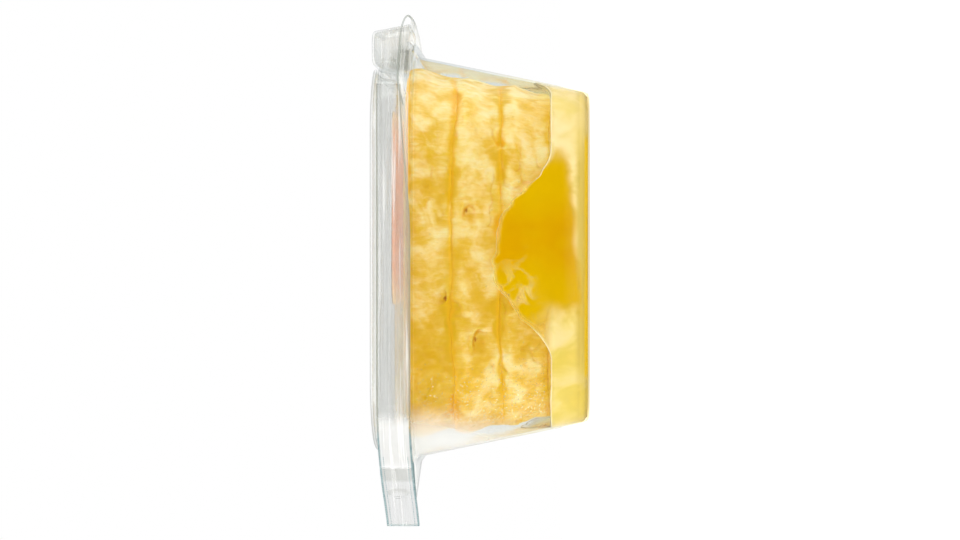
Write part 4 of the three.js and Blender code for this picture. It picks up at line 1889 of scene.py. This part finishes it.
@dataclass
class Studio:
    """A pale floor, soft light and the camera."""

    distance: float = 550.0
    eye_z: float = 8.0
    pixels_per_metre_at_metre: float = 2075.0
    frame_width: int = 960
    centre_row: float = 257.0
    horizon_column: float = 560.0
    frame_height: int = 540
    room: float = 0.56
    floor_half: float = 6.0
    floor_drop: float = 0.0002

    def floor(self) -> None:
        """Lays the pale floor."""
        surface = Surface("pale_floor")
        is_seen = surface.ray("Camera")
        is_mirrored = surface.ray("Glossy")
        inputs = {
            "Base Color": (0.93, 0.93, 0.93),
            "Roughness": 0.7,
            "Emission Color": surface.mixed(is_seen + is_mirrored * 0.23, BLACK, WHITE),
            "Emission Strength": 0.65,
        }
        pale = surface.paint(inputs)
        dark = surface.node("ShaderNodeBsdfDiffuse", {}, {"Color": (0.01, 0.01, 0.01)})
        # The patch of floor that the near wall mirrors is dark in that mirror alone.
        x, y = surface.part(surface.place(), "X"), surface.part(surface.place(), "Y")
        in_front = (y * -1.0).between(0.05, 0.066) * (1.0 - (x * x).between(0.004, 0.02))
        material = surface.finished(surface.blended(is_mirrored * in_front, pale, dark))
        mesh = bpy.data.meshes.new("floor")
        half = self.floor_half
        corners = [(-half, -half, 0), (half, -half, 0), (half, half, 0), (-half, half, 0)]
        mesh.from_pydata(corners, [], [(0, 1, 2, 3)])
        mesh.materials.append(material)
        floor = bpy.data.objects.new("floor", mesh)
        floor.location.z = -self.floor_drop
        bpy.context.scene.collection.objects.link(floor)

    def light(self) -> None:
        """Sets the soft lights and the room's even light."""
        for box in Softbox:
            place, aim, width, height, power = box.value
            data = bpy.data.lights.new(box.name.lower(), "AREA")
            data.shape = "RECTANGLE"
            data.size, data.size_y, data.energy = width, height, power
            lamp = bpy.data.objects.new(box.name.lower(), data)
            lamp.location = place
            lamp.rotation_euler = (Vector(aim) - Vector(place)).to_track_quat("-Z", "Y").to_euler()
            bpy.context.scene.collection.objects.link(lamp)
        world = bpy.data.worlds.new("studio")
        world.use_nodes = True
        room = Surface("studio", world)
        way = room.node("ShaderNodeTexCoord", {}, {}, "Generated")
        towards = room.node("ShaderNodeSeparateXYZ", {}, {0: way}, "Y")
        above = room.node("ShaderNodeSeparateXYZ", {}, {0: way}, "Z").between(0.12, 0.3)
        mirrored = (1.0 - above * 0.5) * (0.95 - (towards * -1.0).between(0.75, 0.95) * 0.93)
        is_mirrored = room.ray("Glossy")
        is_seen = room.ray("Camera")
        strength = is_mirrored * (mirrored - self.room) + self.room
        strength = is_seen * (1.0 - strength) + strength
        background = room.node("ShaderNodeBackground", {}, {"Color": WHITE, "Strength": strength})
        room.finished(background, "ShaderNodeOutputWorld")
        bpy.context.scene.world = world

    def camera(self) -> None:
        """Sets the camera: level with the foot of the tub, rolled so that up in the frame is +X."""
        data = bpy.data.cameras.new("camera")
        data.sensor_width = 36.0
        data.lens = self.pixels_per_metre_at_metre / self.frame_width * data.sensor_width
        data.clip_start, data.clip_end = 0.01, 50.0
        camera = bpy.data.objects.new("camera", data)
        near_y = -SIZES.flange_half
        scale = self.distance / self.pixels_per_metre_at_metre
        aim = np.array([
            (self.centre_row - self.frame_height / 2) * scale,
            near_y,
            self.eye_z + (self.horizon_column - self.frame_width / 2) * scale,
        ])
        eye = np.array([0.0, near_y - self.distance, self.eye_z])
        back = Vector(eye - aim).normalized()
        right = Vector((0.0, 0.0, -1.0))
        up = back.cross(right).normalized()
        right = up.cross(back).normalized()
        turn = Matrix((right, up, back)).transposed().to_4x4()
        place = Vector((eye + Tub.AXIS) * MM)
        camera.matrix_world = Matrix.Translation(place) @ turn
        bpy.context.scene.collection.objects.link(camera)
        bpy.context.scene.camera = camera

    def settings(self) -> None:
        """Sets the colour management and how often light may pass or bounce."""
        scene = bpy.context.scene
        scene.view_settings.view_transform = "Standard"
        scene.cycles.max_bounces = 12
        scene.cycles.diffuse_bounces = 4
        scene.cycles.glossy_bounces = 4
        scene.cycles.transparent_max_bounces = 64
        scene.cycles.use_denoising = True


def dress_label(material: bpy.types.Material) -> None:
    """Gives the solid label its print.

    Args:
        material: the print.
    """
    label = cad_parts["lid_label"]
    label.data.materials.clear()
    label.data.materials.append(material)


def report(pieces: Union[bpy.types.Object, list[bpy.types.Object]]) -> None:
    """Logs the name and the number of faces of each new piece."""
    for piece in pieces if isinstance(pieces, list) else [pieces]:
        LOG.info("%s: %d faces", piece.name, len(piece.data.polygons))


def main() -> None:
    """Builds the studio and every piece, in order."""
    logging.basicConfig(level=logging.INFO, format="%(name)s %(message)s")
    studio = Studio()
    studio.settings()
    studio.floor()
    studio.light()
    studio.camera()
    edge = CutEdge().material()
    tub_sheet = ClearSheet("clear_tub_sheet", (0.985, 0.988, 0.985), 0.0, 0.0, (0.8, 0.83, 0.82)).material()
    lid_sheet = ClearSheet("clear_lid_sheet", (0.965, 0.968, 0.963), 0.01, 0.2, (0.94, 0.95, 0.95)).material()
    band_sheet = ClearSheet("clear_band_sheet", (0.905, 0.907, 0.905), 0.04, 0.4).material()
    flesh = Flesh().material()
    dew = Droplet("dew", (0.95, 0.9, 0.75), 0.2, 0.5).material()
    bead = Droplet("juice_bead", (0.3, 0.3, 0.24), 1.0, 0.25).material()
    report(Tub().build(tub_sheet, edge))
    report(Lid().build(lid_sheet, edge))
    report(TearStrip().build(band_sheet, edge))
    report(RingStack().build(flesh))
    juice = Juice()
    report(juice.build(JuiceLook().material()))
    report(ContactLine(juice).build(bead))
    report(Condensation(juice).build(dew))
    dress_label(LabelPrint().material())


if __name__ == "__main__":
    main()
